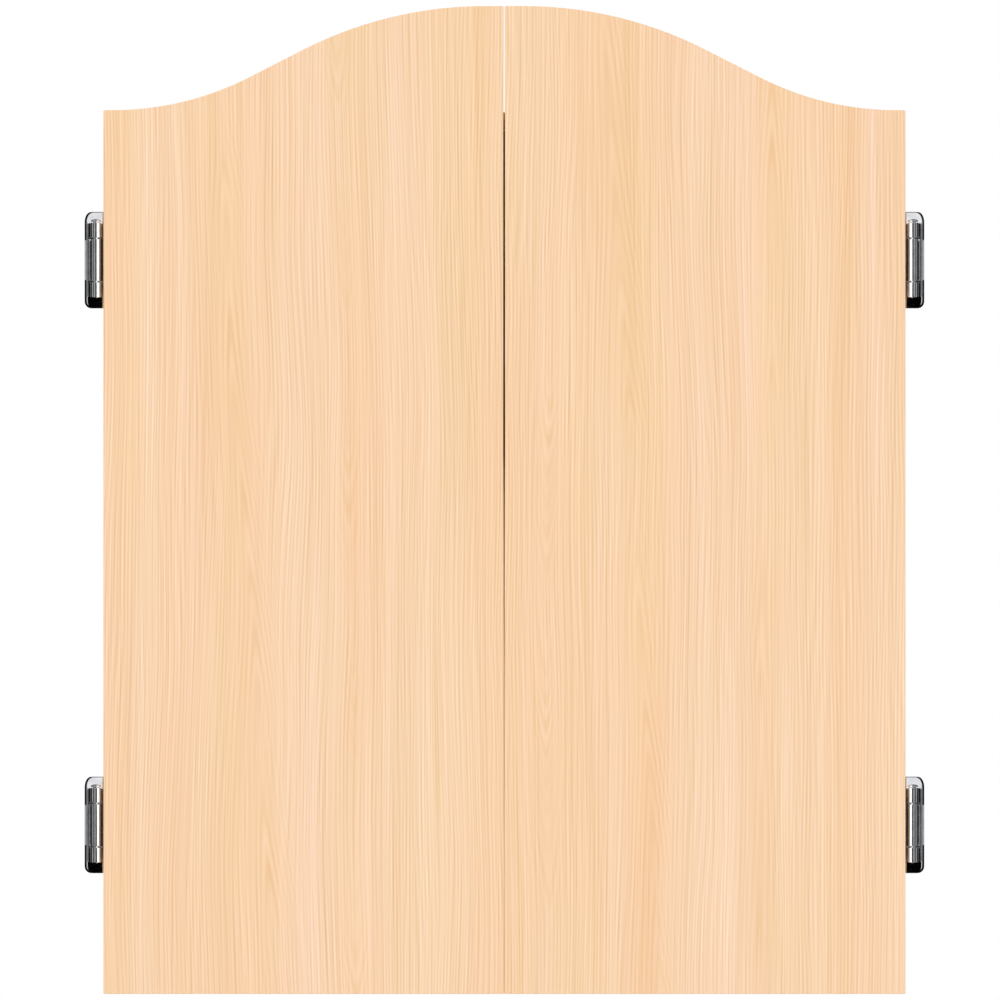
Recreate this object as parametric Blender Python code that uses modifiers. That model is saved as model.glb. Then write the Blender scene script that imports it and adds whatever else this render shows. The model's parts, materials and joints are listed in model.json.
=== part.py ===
"""Dart board cabinet: a wall-hung box with two arched doors on chrome barrel hinges.

Metres, +Z up.  The origin is on the wall plane, at the centre of the back panel's rear face.
+Y points into the wall and the doors face -Y, so +X is on the right of somebody facing the doors.
"""

import math

import bmesh
import bpy
from mathutils import Matrix, Vector

# ---------------------------------------------------------------- driving dimensions
CABINET_WIDTH = 0.500
BOX_HEIGHT = 0.550
BOX_DEPTH = 0.0684
PANEL = 0.012                 # sides, top and bottom
BACK_PANEL = 0.006
DOOR_THICKNESS = 0.015
DOOR_GAP = 0.0016             # box front to door back, room for the hinge leaf
CLEARANCE = 0.0003            # between pieces that touch
ARRIS = 0.0006                # softened edges of the boards

# Doors: straight sides, then an ogee up to a crown on the centre line
DOOR_SIDE_HEIGHT = 0.551
CROWN_FLAT = 0.012
CROWN_RADIUS = 0.250
FOOT_RADIUS = 0.187
OGEE_ANGLE = math.radians(27.0)
OGEE_STRAIGHT = 0.038
OGEE_STEPS = 14               # facets in each arc
SEAM_TOP = 0.0009             # the doors' meeting gap closes slightly towards the bottom
SEAM_BOTTOM = 0.0006

# Hinges, measured from the door's side edge and its bottom edge
HINGE_HEIGHT = 0.0602
HINGE_CENTRES = {"lower": 0.1052, "upper": 0.4576}
AXIS_OUT = 0.0048             # pin axis outboard of the door's edge
BARREL_RADIUS = 0.00335
WING_OUT = 0.0119             # frame leaf's outer edge, outboard of the door's edge
FRAME_LEAF = 0.0012           # plate thickness
DOOR_LEAF = 0.0010
WING_CHAMFER = 0.0040
WING_ROUND = 0.0050
FLANGE_LENGTH = 0.024         # frame leaf along the box's side
MIDDLE_KNUCKLE = 0.0261
END_KNUCKLE = 0.0102
WEB_OUT = 0.0044              # cast web beside each end knuckle, outboard of the axis
PIN_RADIUS = 0.0017
PIN_HEAD_RADIUS = 0.0031
PIN_HEAD_HEIGHT = 0.0016
DOOR_LEAF_WIDTH = 0.0212
DOOR_LEAF_HEIGHT = 0.050
DOOR_LEAF_ROUND = 0.003

# Countersunk screws
SCREW_HEAD_RADIUS = 0.0027
SCREW_SHANK_RADIUS = 0.0012
SCREW_HEAD_HEIGHT = 0.0009
SCREW_LENGTH = 0.0088
PILOT_LENGTH = 0.0098
SCREW_RECESS = 0.0001         # head face below the plate's face
FRAME_SCREW_Z = 0.021
FRAME_SCREW_BACK = 0.014      # behind the box's front edge
DOOR_SCREW_Z = 0.017
DOOR_SCREW_IN = 0.0170        # inboard of the door's edge

# Inside of the doors
SCOREBOARD = (0.196, 0.003, 0.424)
SCOREBOARD_CENTRE = (0.118, 0.0)
SCOREBOARD_ARRIS = 0.0004
HOLDER = (0.112, 0.018, 0.012)
HOLDER_CENTRE = (0.118, -0.2335)
HOLDER_ROUND = 0.004
HOLDER_HOLES = 3
HOLDER_PITCH = 0.034
HOLDER_HOLE_RADIUS = 0.0037

# Magnetic catches
CATCH = (0.050, 0.017, 0.011)
CATCH_ROUND = 0.003
CATCH_BACK = 0.0012           # housing's front behind the box's front edge
MAGNET = (0.015, 0.010, 0.005)
MAGNET_X = 0.013
STRIKE = (0.018, 0.0010, 0.012)
STRIKE_ROUND = 0.002

# Dart board fixings on the back panel
BRACKET_WIDTH = 0.058
BRACKET_HEIGHT = 0.046
BRACKET_RAISE = 0.010
BRACKET_SHEET = 0.0016
BRACKET_FLANGE = 0.014
BRACKET_FOLD = 0.003          # how far the bridge's ends lean inwards
BRACKET_SLOT = 0.009
BRACKET_SLOT_DEPTH = 0.0253   # from the bracket's top edge down to the slot's round end
BRACKET_SOLID_SIDE = 1.0      # the sheet thickens away from the back panel
BRACKET_PILOT = BACK_PANEL - 0.0012
BRACKET_SCREW_SHORT = 0.0004  # from the screw's tip to the end of its pilot hole
SPACER_RADIUS = 0.015
SPACER_TOP_RADIUS = 0.01275
SPACER_HEIGHT = 0.0100
SPACER_CIRCLE = 0.195
WALL_HOLE_RADIUS = 0.0022
WALL_HOLE = (0.205, 0.232)    # from the centre of the back panel

# ---------------------------------------------------------------- worked-out places
SIDES = {"left": -1, "right": 1}
HALF_WIDTH = CABINET_WIDTH / 2
HALF_HEIGHT = BOX_HEIGHT / 2
DOOR_BOTTOM = -HALF_HEIGHT
BOX_FRONT = -BOX_DEPTH
DOOR_BACK = BOX_FRONT - DOOR_GAP
DOOR_FRONT = DOOR_BACK - DOOR_THICKNESS
AXIS_X = HALF_WIDTH + AXIS_OUT
AXIS_Y = DOOR_FRONT + BARREL_RADIUS
BORE_RADIUS = PIN_RADIUS + CLEARANCE
INNER_HALF_WIDTH = HALF_WIDTH - PANEL
INNER_HALF_HEIGHT = HALF_HEIGHT - PANEL
CATCH_Z = INNER_HALF_HEIGHT - CLEARANCE - CATCH[2] / 2
BRACKET_SCREW_X = (BRACKET_WIDTH - BRACKET_FLANGE) / 2
OVERLAP = 0.0002              # how far a solid reaches into the one it is joined to
THROUGH = 0.002               # how far a cutter runs past the faces it cuts

# Colour, roughness, metallic
FINISHES = {
    "laminate": ((0.93, 0.65, 0.42), 0.42, 0.0),
    "chrome": ((0.80, 0.81, 0.83), 0.10, 1.0),
    "zinc_steel": ((0.62, 0.63, 0.65), 0.32, 1.0),
    "score_surface": ((0.012, 0.012, 0.013), 0.22, 0.0),
    "black_plastic": ((0.020, 0.020, 0.022), 0.50, 0.0),
    "magnet": ((0.10, 0.10, 0.11), 0.45, 0.7),
    "rubber": ((0.015, 0.015, 0.015), 0.85, 0.0),
    "black_board": ((0.020, 0.019, 0.018), 0.70, 0.0),
}


# ---------------------------------------------------------------- helpers
def clear_scene():
    for obj in list(bpy.data.objects):
        bpy.data.objects.remove(obj, do_unlink=True)


def new_collection(name):
    collection = bpy.data.collections.new(name)
    bpy.context.scene.collection.children.link(collection)
    return collection


def new_material(name, finish):
    colour, roughness, metallic = FINISHES[finish]
    material = bpy.data.materials.new(name)
    material.use_nodes = True
    shader = material.node_tree.nodes["Principled BSDF"]
    shader.inputs["Base Color"].default_value = (*colour, 1.0)
    shader.inputs["Roughness"].default_value = roughness
    shader.inputs["Metallic"].default_value = metallic
    material.diffuse_color = (*colour, 1.0)
    return material


def add_part(name, mesh, finish, location, parent=None, rotation=(0, 0, 0)):
    """Put a mesh in the model at a world location, under a parent empty where it moves."""
    obj = bpy.data.objects.new(name, mesh)
    parts.objects.link(obj)
    obj.location = Vector(location) - (parent.location if parent else Vector())
    obj.rotation_euler = rotation
    obj.parent = parent
    obj.data.materials.clear()
    obj.data.materials.append(new_material(name, finish))
    return obj


def add_cutter(name, mesh, location, rotation=(0, 0, 0)):
    obj = bpy.data.objects.new(name, mesh)
    cutters.objects.link(obj)
    obj.location = location
    obj.rotation_euler = rotation
    obj.hide_render = True
    obj.display_type = "WIRE"
    return obj


def mesh_from(bm, name):
    mesh = bpy.data.meshes.new(name)
    bm.to_mesh(mesh)
    bm.free()
    return mesh


def block(size, name="block"):
    """A box mesh centred on its origin."""
    bm = bmesh.new()
    bmesh.ops.create_cube(bm, size=1.0)
    bmesh.ops.scale(bm, vec=size, verts=bm.verts)
    return mesh_from(bm, name)


def rod(radius, length, segments=16, name="rod", top_radius=None):
    """A cylinder or cone mesh along Z, centred on its origin."""
    bm = bmesh.new()
    bmesh.ops.create_cone(bm, cap_ends=True, segments=segments, radius1=radius,
                          radius2=radius if top_radius is None else top_radius, depth=length)
    mesh = mesh_from(bm, name)
    shade_round(mesh)
    return mesh


def shade_round(mesh):
    mesh.shade_smooth()
    mesh.set_sharp_from_angle(angle=math.radians(35))


def span(low, high):
    """Size and centre of the box between two corners."""
    size = tuple(b - a for a, b in zip(low, high))
    centre = tuple((a + b) / 2 for a, b in zip(low, high))
    return size, centre


def boolean(obj, tool, operation):
    modifier = obj.modifiers.new(operation.title(), "BOOLEAN")
    modifier.operation = operation
    modifier.solver = "EXACT"
    modifier.object = tool


def cut(obj, tool):
    boolean(obj, tool, "DIFFERENCE")


def join(obj, tool):
    boolean(obj, tool, "UNION")


def soften(obj, width=ARRIS, segments=2):
    modifier = obj.modifiers.new("Bevel", "BEVEL")
    modifier.width = width
    modifier.segments = segments
    modifier.limit_method = "ANGLE"
    modifier.angle_limit = math.radians(40)
    modifier.harden_normals = False


def bevel_edges(mesh, chosen, offset, segments):
    """Bevel the edges of a mesh that pass a test on their two end points."""
    bm = bmesh.new()
    bm.from_mesh(mesh)
    edges = [e for e in bm.edges if chosen(e.verts[0].co, e.verts[1].co)]
    bmesh.ops.bevel(bm, geom=edges, offset=offset, segments=segments, profile=0.5,
                    affect="EDGES", offset_type="OFFSET")
    bm.to_mesh(mesh)
    bm.free()


def turned(profile, steps=16, name="turned"):
    """A mesh spun about Z from (radius, z) points given top to bottom."""
    bm = bmesh.new()
    points = [bm.verts.new((radius, 0.0, z)) for radius, z in profile]
    for a, b in zip(points, points[1:]):
        bm.edges.new((a, b))
    obj = bpy.data.objects.new(name, mesh_from(bm, name))
    parts.objects.link(obj)
    screw = obj.modifiers.new("Screw", "SCREW")
    screw.steps = steps
    screw.render_steps = steps
    screw.use_merge_vertices = True
    screw.merge_threshold = 0.00001
    screw.use_smooth_shade = True
    evaluated = obj.evaluated_get(bpy.context.evaluated_depsgraph_get())
    mesh = bpy.data.meshes.new_from_object(evaluated)
    mesh.name = name
    bpy.data.objects.remove(obj, do_unlink=True)
    shade_round(mesh)
    return mesh


# ---------------------------------------------------------------- box
def make_box():
    side_size = (PANEL, BOX_DEPTH, BOX_HEIGHT)
    for side, sign in SIDES.items():
        place = (sign * (HALF_WIDTH - PANEL / 2), BOX_FRONT / 2, 0.0)
        panel = add_part(f"{side}_side_panel", block(side_size), "laminate", place)
        soften(panel)
        for level in HINGE_CENTRES:
            for z in (-FRAME_SCREW_Z, FRAME_SCREW_Z):
                cut(panel, frame_screw_hole(side, sign, level, z))
    shelf_size = (2 * (INNER_HALF_WIDTH - CLEARANCE), BOX_DEPTH, PANEL)
    for name, sign in (("top", 1), ("bottom", -1)):
        place = (0.0, BOX_FRONT / 2, sign * (HALF_HEIGHT - PANEL / 2))
        soften(add_part(f"{name}_panel", block(shelf_size), "laminate", place))
    make_back()


def make_back():
    size = (2 * (INNER_HALF_WIDTH - CLEARANCE), BACK_PANEL, 2 * (INNER_HALF_HEIGHT - CLEARANCE))
    back = add_part("back_panel", block(size), "black_board", (0.0, -BACK_PANEL / 2, 0.0))
    hole = rod(WALL_HOLE_RADIUS, BACK_PANEL + 2 * THROUGH, 12, "wall_hole")
    for x in (-WALL_HOLE[0], WALL_HOLE[0]):
        for z in (-WALL_HOLE[1], WALL_HOLE[1]):
            place = (x, -BACK_PANEL / 2, z)
            cut(back, add_cutter("wall_hole", hole, place, (math.pi / 2, 0, 0)))
    pilot = rod(SCREW_SHANK_RADIUS + CLEARANCE, BRACKET_PILOT + THROUGH, 12, "bracket_pilot")
    for sign in (-1, 1):
        place = (sign * BRACKET_SCREW_X, -BACK_PANEL + (BRACKET_PILOT - THROUGH) / 2, 0.0)
        cut(back, add_cutter("bracket_pilot", pilot, place, (math.pi / 2, 0, 0)))


# ---------------------------------------------------------------- doors
def ogee_outline(sign):
    """One door's outline in X and Z, counter-clockwise for the right-hand door."""
    rise = (CROWN_RADIUS + FOOT_RADIUS) * (1 - math.cos(OGEE_ANGLE))
    rise += OGEE_STRAIGHT * math.sin(OGEE_ANGLE)
    corner = DOOR_BOTTOM + DOOR_SIDE_HEIGHT
    crown = corner + rise
    foot_end = CROWN_FLAT + (CROWN_RADIUS + FOOT_RADIUS) * math.sin(OGEE_ANGLE)
    foot_end += OGEE_STRAIGHT * math.cos(OGEE_ANGLE)
    angles = [OGEE_ANGLE * i / OGEE_STEPS for i in range(OGEE_STEPS + 1)]
    points = [(SEAM_BOTTOM / 2, DOOR_BOTTOM), (HALF_WIDTH, DOOR_BOTTOM), (HALF_WIDTH, corner)]
    for a in angles:
        points.append((foot_end - FOOT_RADIUS * math.sin(a),
                       corner + FOOT_RADIUS * (1 - math.cos(a))))
    for a in reversed(angles):
        points.append((CROWN_FLAT + CROWN_RADIUS * math.sin(a),
                       crown - CROWN_RADIUS * (1 - math.cos(a))))
    points.append((SEAM_TOP / 2, crown))
    if sign < 0:
        points = [(-x, z) for x, z in reversed(points)]
    return points


def flat_plate(outline, thickness, name):
    """A filled 2D curve, thickened and turned into a mesh that stands in the XZ plane."""
    curve = bpy.data.curves.new(name, "CURVE")
    curve.dimensions = "2D"
    curve.fill_mode = "BOTH"
    curve.extrude = thickness / 2
    spline = curve.splines.new("POLY")
    spline.points.add(len(outline) - 1)
    for point, (x, z) in zip(spline.points, outline):
        point.co = (x, z, 0.0, 1.0)
    spline.use_cyclic_u = True
    obj = bpy.data.objects.new(name, curve)
    parts.objects.link(obj)
    evaluated = obj.evaluated_get(bpy.context.evaluated_depsgraph_get())
    mesh = bpy.data.meshes.new_from_object(evaluated)
    mesh.name = name
    bpy.data.objects.remove(obj, do_unlink=True)
    bm = bmesh.new()
    bm.from_mesh(mesh)
    bmesh.ops.remove_doubles(bm, verts=bm.verts, dist=0.00001)
    bmesh.ops.rotate(bm, verts=bm.verts, matrix=Matrix.Rotation(math.pi / 2, 3, "X"))
    bmesh.ops.dissolve_limit(bm, angle_limit=math.radians(0.1), verts=bm.verts, edges=bm.edges)
    bm.to_mesh(mesh)
    bm.free()
    return mesh


def make_doors():
    for side, sign in SIDES.items():
        mesh = flat_plate(ogee_outline(sign), DOOR_THICKNESS, f"{side}_door")
        centre = (0.0, (DOOR_BACK + DOOR_FRONT) / 2, 0.0)
        door = add_part(f"{side}_door", mesh, "laminate", centre, axes[side])
        soften(door)
        pilot = rod(SCREW_SHANK_RADIUS + CLEARANCE, PILOT_LENGTH + THROUGH, 12, "door_pilot")
        for level in HINGE_CENTRES:
            for z in (-DOOR_SCREW_Z, DOOR_SCREW_Z):
                place = (sign * (HALF_WIDTH - DOOR_SCREW_IN),
                         DOOR_BACK + (THROUGH - PILOT_LENGTH) / 2,
                         hinge_z(level) + z)
                cut(door, add_cutter("door_pilot", pilot, place, (math.pi / 2, 0, 0)))
        make_door_inside(side, sign)


def make_door_inside(side, sign):
    x, z = SCOREBOARD_CENTRE
    place = (sign * x, DOOR_BACK + CLEARANCE + SCOREBOARD[1] / 2, z)
    board = add_part(f"{side}_scoreboard", block(SCOREBOARD), "score_surface", place, axes[side])
    soften(board, SCOREBOARD_ARRIS, 1)
    make_dart_holder(side, sign)
    for level, up in (("upper", 1), ("lower", -1)):
        place = (sign * MAGNET_X, DOOR_BACK + CLEARANCE + STRIKE[1] / 2, up * CATCH_Z)
        mesh = block(STRIKE)
        bevel_edges(mesh, lambda a, b: abs(a.y - b.y) > STRIKE[1] / 2, STRIKE_ROUND, 3)
        name = f"{side}_{level}_strike_plate"
        add_part(name, mesh, "zinc_steel", place, axes[side])


def make_dart_holder(side, sign):
    x, z = HOLDER_CENTRE
    y = DOOR_BACK + CLEARANCE + HOLDER[1] / 2
    mesh = block(HOLDER)
    bevel_edges(mesh, lambda a, b: min(a.y, b.y) > 0 and abs(a.z - b.z) > HOLDER[2] / 2,
                HOLDER_ROUND, 4)
    holder = add_part(f"{side}_dart_holder", mesh, "black_plastic", (sign * x, y, z), axes[side])
    hole = rod(HOLDER_HOLE_RADIUS, HOLDER[2] + 2 * THROUGH, 16, "dart_hole")
    for i in range(HOLDER_HOLES):
        offset = (i - (HOLDER_HOLES - 1) / 2) * HOLDER_PITCH
        cut(holder, add_cutter("dart_hole", hole, (sign * x + offset, y, z)))


# ---------------------------------------------------------------- hinges
def hinge_z(level):
    return DOOR_BOTTOM + HINGE_CENTRES[level]


def frame_screw_hole(side, sign, level, z):
    """Pilot hole for a screw that runs inwards through the frame leaf."""
    length = PILOT_LENGTH - FRAME_LEAF
    mesh = rod(SCREW_SHANK_RADIUS + CLEARANCE, length + THROUGH, 12, "side_pilot")
    place = (sign * (HALF_WIDTH + (THROUGH - length) / 2), BOX_FRONT + FRAME_SCREW_BACK,
             hinge_z(level) + z)
    return add_cutter("side_pilot", mesh, place, (0, math.pi / 2, 0))


def local_block(low, high, sign, name):
    """A box between two corners given outboard, back and up from the pin axis."""
    (width, depth, height), (x, y, z) = span(low, high)
    mesh = block((width, depth, height), name)
    mesh.transform(Matrix.Translation((x, y, z)))
    if sign < 0:
        mesh.transform(Matrix.Scale(-1, 4, (1, 0, 0)))
        mesh.flip_normals()
    return mesh


def make_frame_leaf(side, sign, level):
    """Cast leaf: a flange on the box's side, a wing behind the barrel and two end knuckles."""
    origin = Vector((sign * AXIS_X, AXIS_Y, hinge_z(level)))
    half = HINGE_HEIGHT / 2
    wing_front = BARREL_RADIUS + CLEARANCE
    wing_back = wing_front + FRAME_LEAF
    flange_in = CLEARANCE - AXIS_OUT
    flange_back = BOX_FRONT - AXIS_Y + FLANGE_LENGTH

    wing = local_block((flange_in, wing_front, -half), (WING_OUT - AXIS_OUT, wing_back, half),
                       sign, "wing")
    outer = sign * (WING_OUT - AXIS_OUT)

    def outer_corner(a, b):
        beyond = max(abs(a.x - outer), abs(b.x - outer))
        return beyond < OVERLAP and abs(a.y - b.y) > FRAME_LEAF / 2

    bevel_edges(wing, lambda a, b: outer_corner(a, b) and a.z > 0, WING_CHAMFER, 1)
    bevel_edges(wing, lambda a, b: outer_corner(a, b) and a.z < 0, WING_ROUND, 5)
    leaf = add_part(f"{side}_{level}_frame_leaf", wing, "chrome", origin)

    flange = local_block((flange_in, wing_front + OVERLAP, -half + OVERLAP),
                         (flange_in + FRAME_LEAF, flange_back, half - OVERLAP), sign, "flange")

    def rear_corner(a, b):
        return min(a.y, b.y) > flange_back - OVERLAP and abs(a.x - b.x) > OVERLAP

    bevel_edges(flange, rear_corner, WING_CHAMFER, 3)
    join(leaf, add_cutter("flange", flange, origin))

    window_half = MIDDLE_KNUCKLE / 2 + CLEARANCE
    window = local_block((flange_in - THROUGH, wing_front - THROUGH, -window_half),
                         (DOOR_LEAF - BARREL_RADIUS + CLEARANCE,
                          BOX_FRONT - AXIS_Y + CLEARANCE, window_half), sign, "window")
    cut(leaf, add_cutter("window", window, origin))

    knuckle = rod(BARREL_RADIUS, END_KNUCKLE, 24, "end_knuckle")
    for up in (-1, 1):
        z = up * (MIDDLE_KNUCKLE / 2 + CLEARANCE + END_KNUCKLE / 2)
        web = local_block((0.0, BARREL_RADIUS / 3, z - END_KNUCKLE / 2 + OVERLAP),
                          (WEB_OUT, wing_front + OVERLAP, z + END_KNUCKLE / 2 - OVERLAP),
                          sign, "web")
        join(leaf, add_cutter("web", web, origin))
        join(leaf, add_cutter("end_knuckle", knuckle, origin + Vector((0, 0, z))))
    bore = rod(BORE_RADIUS, HINGE_HEIGHT, 16, "pin_bore")
    cut(leaf, add_cutter("pin_bore", bore, origin))

    face = Vector((sign * (flange_in + FRAME_LEAF), BOX_FRONT - AXIS_Y + FRAME_SCREW_BACK, 0))
    inward = Vector((-sign, 0, 0))
    for index, z in enumerate((-FRAME_SCREW_Z, FRAME_SCREW_Z)):
        seat = origin + face + Vector((0, 0, z))
        cut_countersink(leaf, seat, inward)
        label = ("b", "a")[index]
        add_screw(f"{side}_{level}_frame_screw_{label}", seat, inward, None)


def make_door_leaf(side, sign, level):
    """Rolled leaf: the middle knuckle, a strap past the door's edge and a plate behind it."""
    origin = Vector((sign * AXIS_X, AXIS_Y, hinge_z(level)))
    half = MIDDLE_KNUCKLE / 2
    plate_front = DOOR_BACK + CLEARANCE - AXIS_Y
    plate_back = plate_front + DOOR_LEAF
    knuckle = rod(BARREL_RADIUS, MIDDLE_KNUCKLE, 24, "middle_knuckle")
    leaf = add_part(f"{side}_{level}_door_leaf", knuckle, "chrome", origin, axes[side])

    strap = local_block((-BARREL_RADIUS, 0.0, -half + OVERLAP),
                        (DOOR_LEAF - BARREL_RADIUS, plate_back, half - OVERLAP), sign, "strap")
    join(leaf, add_cutter("strap", strap, origin))
    outer = -AXIS_OUT - 3 * CLEARANCE
    neck = local_block((outer - DOOR_LEAF_WIDTH / 2, plate_front, -half + OVERLAP),
                       (DOOR_LEAF - BARREL_RADIUS - OVERLAP, plate_back - OVERLAP,
                        half - OVERLAP), sign, "neck")
    join(leaf, add_cutter("neck", neck, origin))
    plate = local_block((outer - DOOR_LEAF_WIDTH, plate_front, -DOOR_LEAF_HEIGHT / 2),
                        (outer, plate_back, DOOR_LEAF_HEIGHT / 2), sign, "plate")
    bevel_edges(plate, lambda a, b: abs(a.y - b.y) > DOOR_LEAF / 2, DOOR_LEAF_ROUND, 3)
    join(leaf, add_cutter("plate", plate, origin))
    bore = rod(BORE_RADIUS, HINGE_HEIGHT, 16, "pin_bore")
    cut(leaf, add_cutter("pin_bore", bore, origin))

    forward = Vector((0, -1, 0))
    for index, z in enumerate((-DOOR_SCREW_Z, DOOR_SCREW_Z)):
        seat = Vector((sign * (HALF_WIDTH - DOOR_SCREW_IN), AXIS_Y + plate_back,
                       hinge_z(level) + z))
        cut_countersink(leaf, seat, forward)
        label = ("b", "a")[index]
        add_screw(f"{side}_{level}_door_screw_{label}", seat, forward, axes[side])


def make_pin(side, sign, level):
    """Hinge pin with a domed head above the top knuckle."""
    top = MIDDLE_KNUCKLE / 2 + CLEARANCE + END_KNUCKLE
    head = top + CLEARANCE
    dome = [(PIN_HEAD_RADIUS * math.sin(a), head + PIN_HEAD_HEIGHT * math.cos(a))
            for a in (math.pi / 2 * i / 4 for i in range(5))]
    profile = dome + [(PIN_RADIUS, head), (PIN_RADIUS, -top), (0.0, -top)]
    origin = (sign * AXIS_X, AXIS_Y, hinge_z(level))
    add_part(f"{side}_{level}_hinge_pin", turned(profile, 16, "hinge_pin"), "chrome", origin)


def screw_mesh(length):
    """Countersunk screw with its head's face at Z = 0 and its shank down -Z."""
    taper = -SCREW_HEAD_HEIGHT
    tip = -length
    profile = [(0.0, 0.0), (SCREW_HEAD_RADIUS, 0.0), (SCREW_SHANK_RADIUS, taper),
               (SCREW_SHANK_RADIUS, tip + SCREW_SHANK_RADIUS), (0.0, tip)]
    return turned(profile, 12, "screw")


def toward(direction):
    """Rotation that turns -Z to point along a direction."""
    return Vector(direction).to_track_quat("-Z", "Y").to_euler()


def cut_countersink(obj, seat, direction):
    """Conical seat and clearance hole, 0.3 mm wider than the screw."""
    reach = THROUGH + CLEARANCE
    slope = (SCREW_HEAD_RADIUS - SCREW_SHANK_RADIUS) / SCREW_HEAD_HEIGHT
    wide = SCREW_HEAD_RADIUS + CLEARANCE + slope * CLEARANCE
    narrow = SCREW_SHANK_RADIUS + CLEARANCE
    depth = (wide - narrow) / slope
    profile = [(0.0, CLEARANCE), (wide, CLEARANCE), (wide, 0.0), (narrow, -depth),
               (narrow, -depth - reach), (0.0, -depth - reach)]
    mesh = turned(profile, 12, "countersink")
    cut(obj, add_cutter("countersink", mesh, seat, toward(direction)))


def add_screw(name, seat, direction, parent, length=SCREW_LENGTH):
    start = Vector(seat) + Vector(direction) * SCREW_RECESS
    add_part(name, screw_mesh(length), "chrome", start, parent, toward(direction))


# ---------------------------------------------------------------- catches
def make_catches():
    for level, up in (("upper", 1), ("lower", -1)):
        y = BOX_FRONT + CATCH[1] / 2 + CATCH_BACK
        z = up * CATCH_Z
        mesh = block(CATCH)
        bevel_edges(mesh, lambda a, b: abs(a.z - b.z) > CATCH[2] / 2, CATCH_ROUND, 3)
        housing = add_part(f"{level}_catch_housing", mesh, "black_plastic", (0.0, y, z))
        pocket = block(tuple(size + 2 * CLEARANCE for size in MAGNET))
        for side, sign in SIDES.items():
            place = (sign * MAGNET_X, BOX_FRONT + MAGNET[1] / 2, z)
            cut(housing, add_cutter("magnet_pocket", pocket, place))
            add_part(f"{side}_{level}_catch_magnet", block(MAGNET), "magnet", place)


# ---------------------------------------------------------------- dart board fixings
def make_board_bracket():
    """Folded hanger: two flanges on the back panel and a raised bridge with an open slot."""
    half = BRACKET_WIDTH / 2
    inner = half - BRACKET_FLANGE
    rest = -BACK_PANEL - CLEARANCE
    raised = rest - BRACKET_RAISE
    bridge = inner - BRACKET_FOLD
    fold = [(-half, rest), (-inner, rest), (-bridge, raised),
            (bridge, raised), (inner, rest), (half, rest)]
    bm = bmesh.new()
    low = [bm.verts.new((x, y, -BRACKET_HEIGHT / 2)) for x, y in fold]
    edges = [bm.edges.new(pair) for pair in zip(low, low[1:])]
    swept = bmesh.ops.extrude_edge_only(bm, edges=edges)["geom"]
    raised_verts = [item for item in swept if isinstance(item, bmesh.types.BMVert)]
    bmesh.ops.translate(bm, verts=raised_verts, vec=(0, 0, BRACKET_HEIGHT))
    bmesh.ops.recalc_face_normals(bm, faces=bm.faces)
    bracket = add_part("board_bracket", mesh_from(bm, "board_bracket"), "zinc_steel", (0, 0, 0))
    solid = bracket.modifiers.new("Solidify", "SOLIDIFY")
    solid.thickness = BRACKET_SHEET
    solid.offset = BRACKET_SOLID_SIDE
    solid.use_even_offset = True

    slot_low = BRACKET_HEIGHT / 2 - BRACKET_SLOT_DEPTH
    size = (BRACKET_SLOT, 2 * (BRACKET_SHEET + THROUGH), BRACKET_SLOT_DEPTH + THROUGH)
    place = (0.0, raised, slot_low + size[2] / 2)
    cut(bracket, add_cutter("slot", block(size), place))
    end = rod(BRACKET_SLOT / 2, size[1], 24, "slot_end")
    cut(bracket, add_cutter("slot_end", end, (0.0, raised, slot_low), (math.pi / 2, 0, 0)))
    for side, sign in SIDES.items():
        seat = Vector((sign * BRACKET_SCREW_X, rest - BRACKET_SHEET, 0.0))
        cut_countersink(bracket, seat, (0, 1, 0))
        length = BRACKET_SHEET + CLEARANCE + BRACKET_PILOT - BRACKET_SCREW_SHORT
        add_screw(f"{side}_bracket_screw", seat, (0, 1, 0), None, length)


def make_board_spacers():
    """Three rubber feet that hold the dart board level off the back panel."""
    y = -BACK_PANEL - CLEARANCE - SPACER_HEIGHT / 2
    for name, angle in (("top", 90), ("left", 210), ("right", 330)):
        turn = math.radians(angle)
        place = (SPACER_CIRCLE * math.cos(turn), y, SPACER_CIRCLE * math.sin(turn))
        mesh = rod(SPACER_RADIUS, SPACER_HEIGHT, 24, "board_spacer", SPACER_TOP_RADIUS)
        add_part(f"board_spacer_{name}", mesh, "rubber", place, None, (math.pi / 2, 0, 0))


def make_axes():
    """An empty on each door's pin axis, which its moving pieces hang from."""
    made = {}
    for side, sign in SIDES.items():
        empty = bpy.data.objects.new(f"{side}_door_axis", None)
        parts.objects.link(empty)
        empty.location = (sign * AXIS_X, AXIS_Y, 0.0)
        made[side] = empty
    return made


clear_scene()
parts = new_collection("dart_board_cabinet")
cutters = new_collection("cutters")
axes = make_axes()
make_box()
make_doors()
for door_side, door_sign in SIDES.items():
    for hinge_level in HINGE_CENTRES:
        make_frame_leaf(door_side, door_sign, hinge_level)
        make_door_leaf(door_side, door_sign, hinge_level)
        make_pin(door_side, door_sign, hinge_level)
make_catches()
make_board_bracket()
make_board_spacers()
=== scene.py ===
"""Looks of the dart board cabinet: laminate, chrome hinges, inside fittings, studio and camera.

Metres, +Z up.  The doors face -Y.  Hinge parts are drawn in a local frame: outboard of the pin
axis, back from it towards the wall, and up from the hinge's middle.
"""

import json
from math import copysign, cos, pi, radians, sin, tan

import bmesh
import bpy
from mathutils import Matrix, Vector

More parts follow.
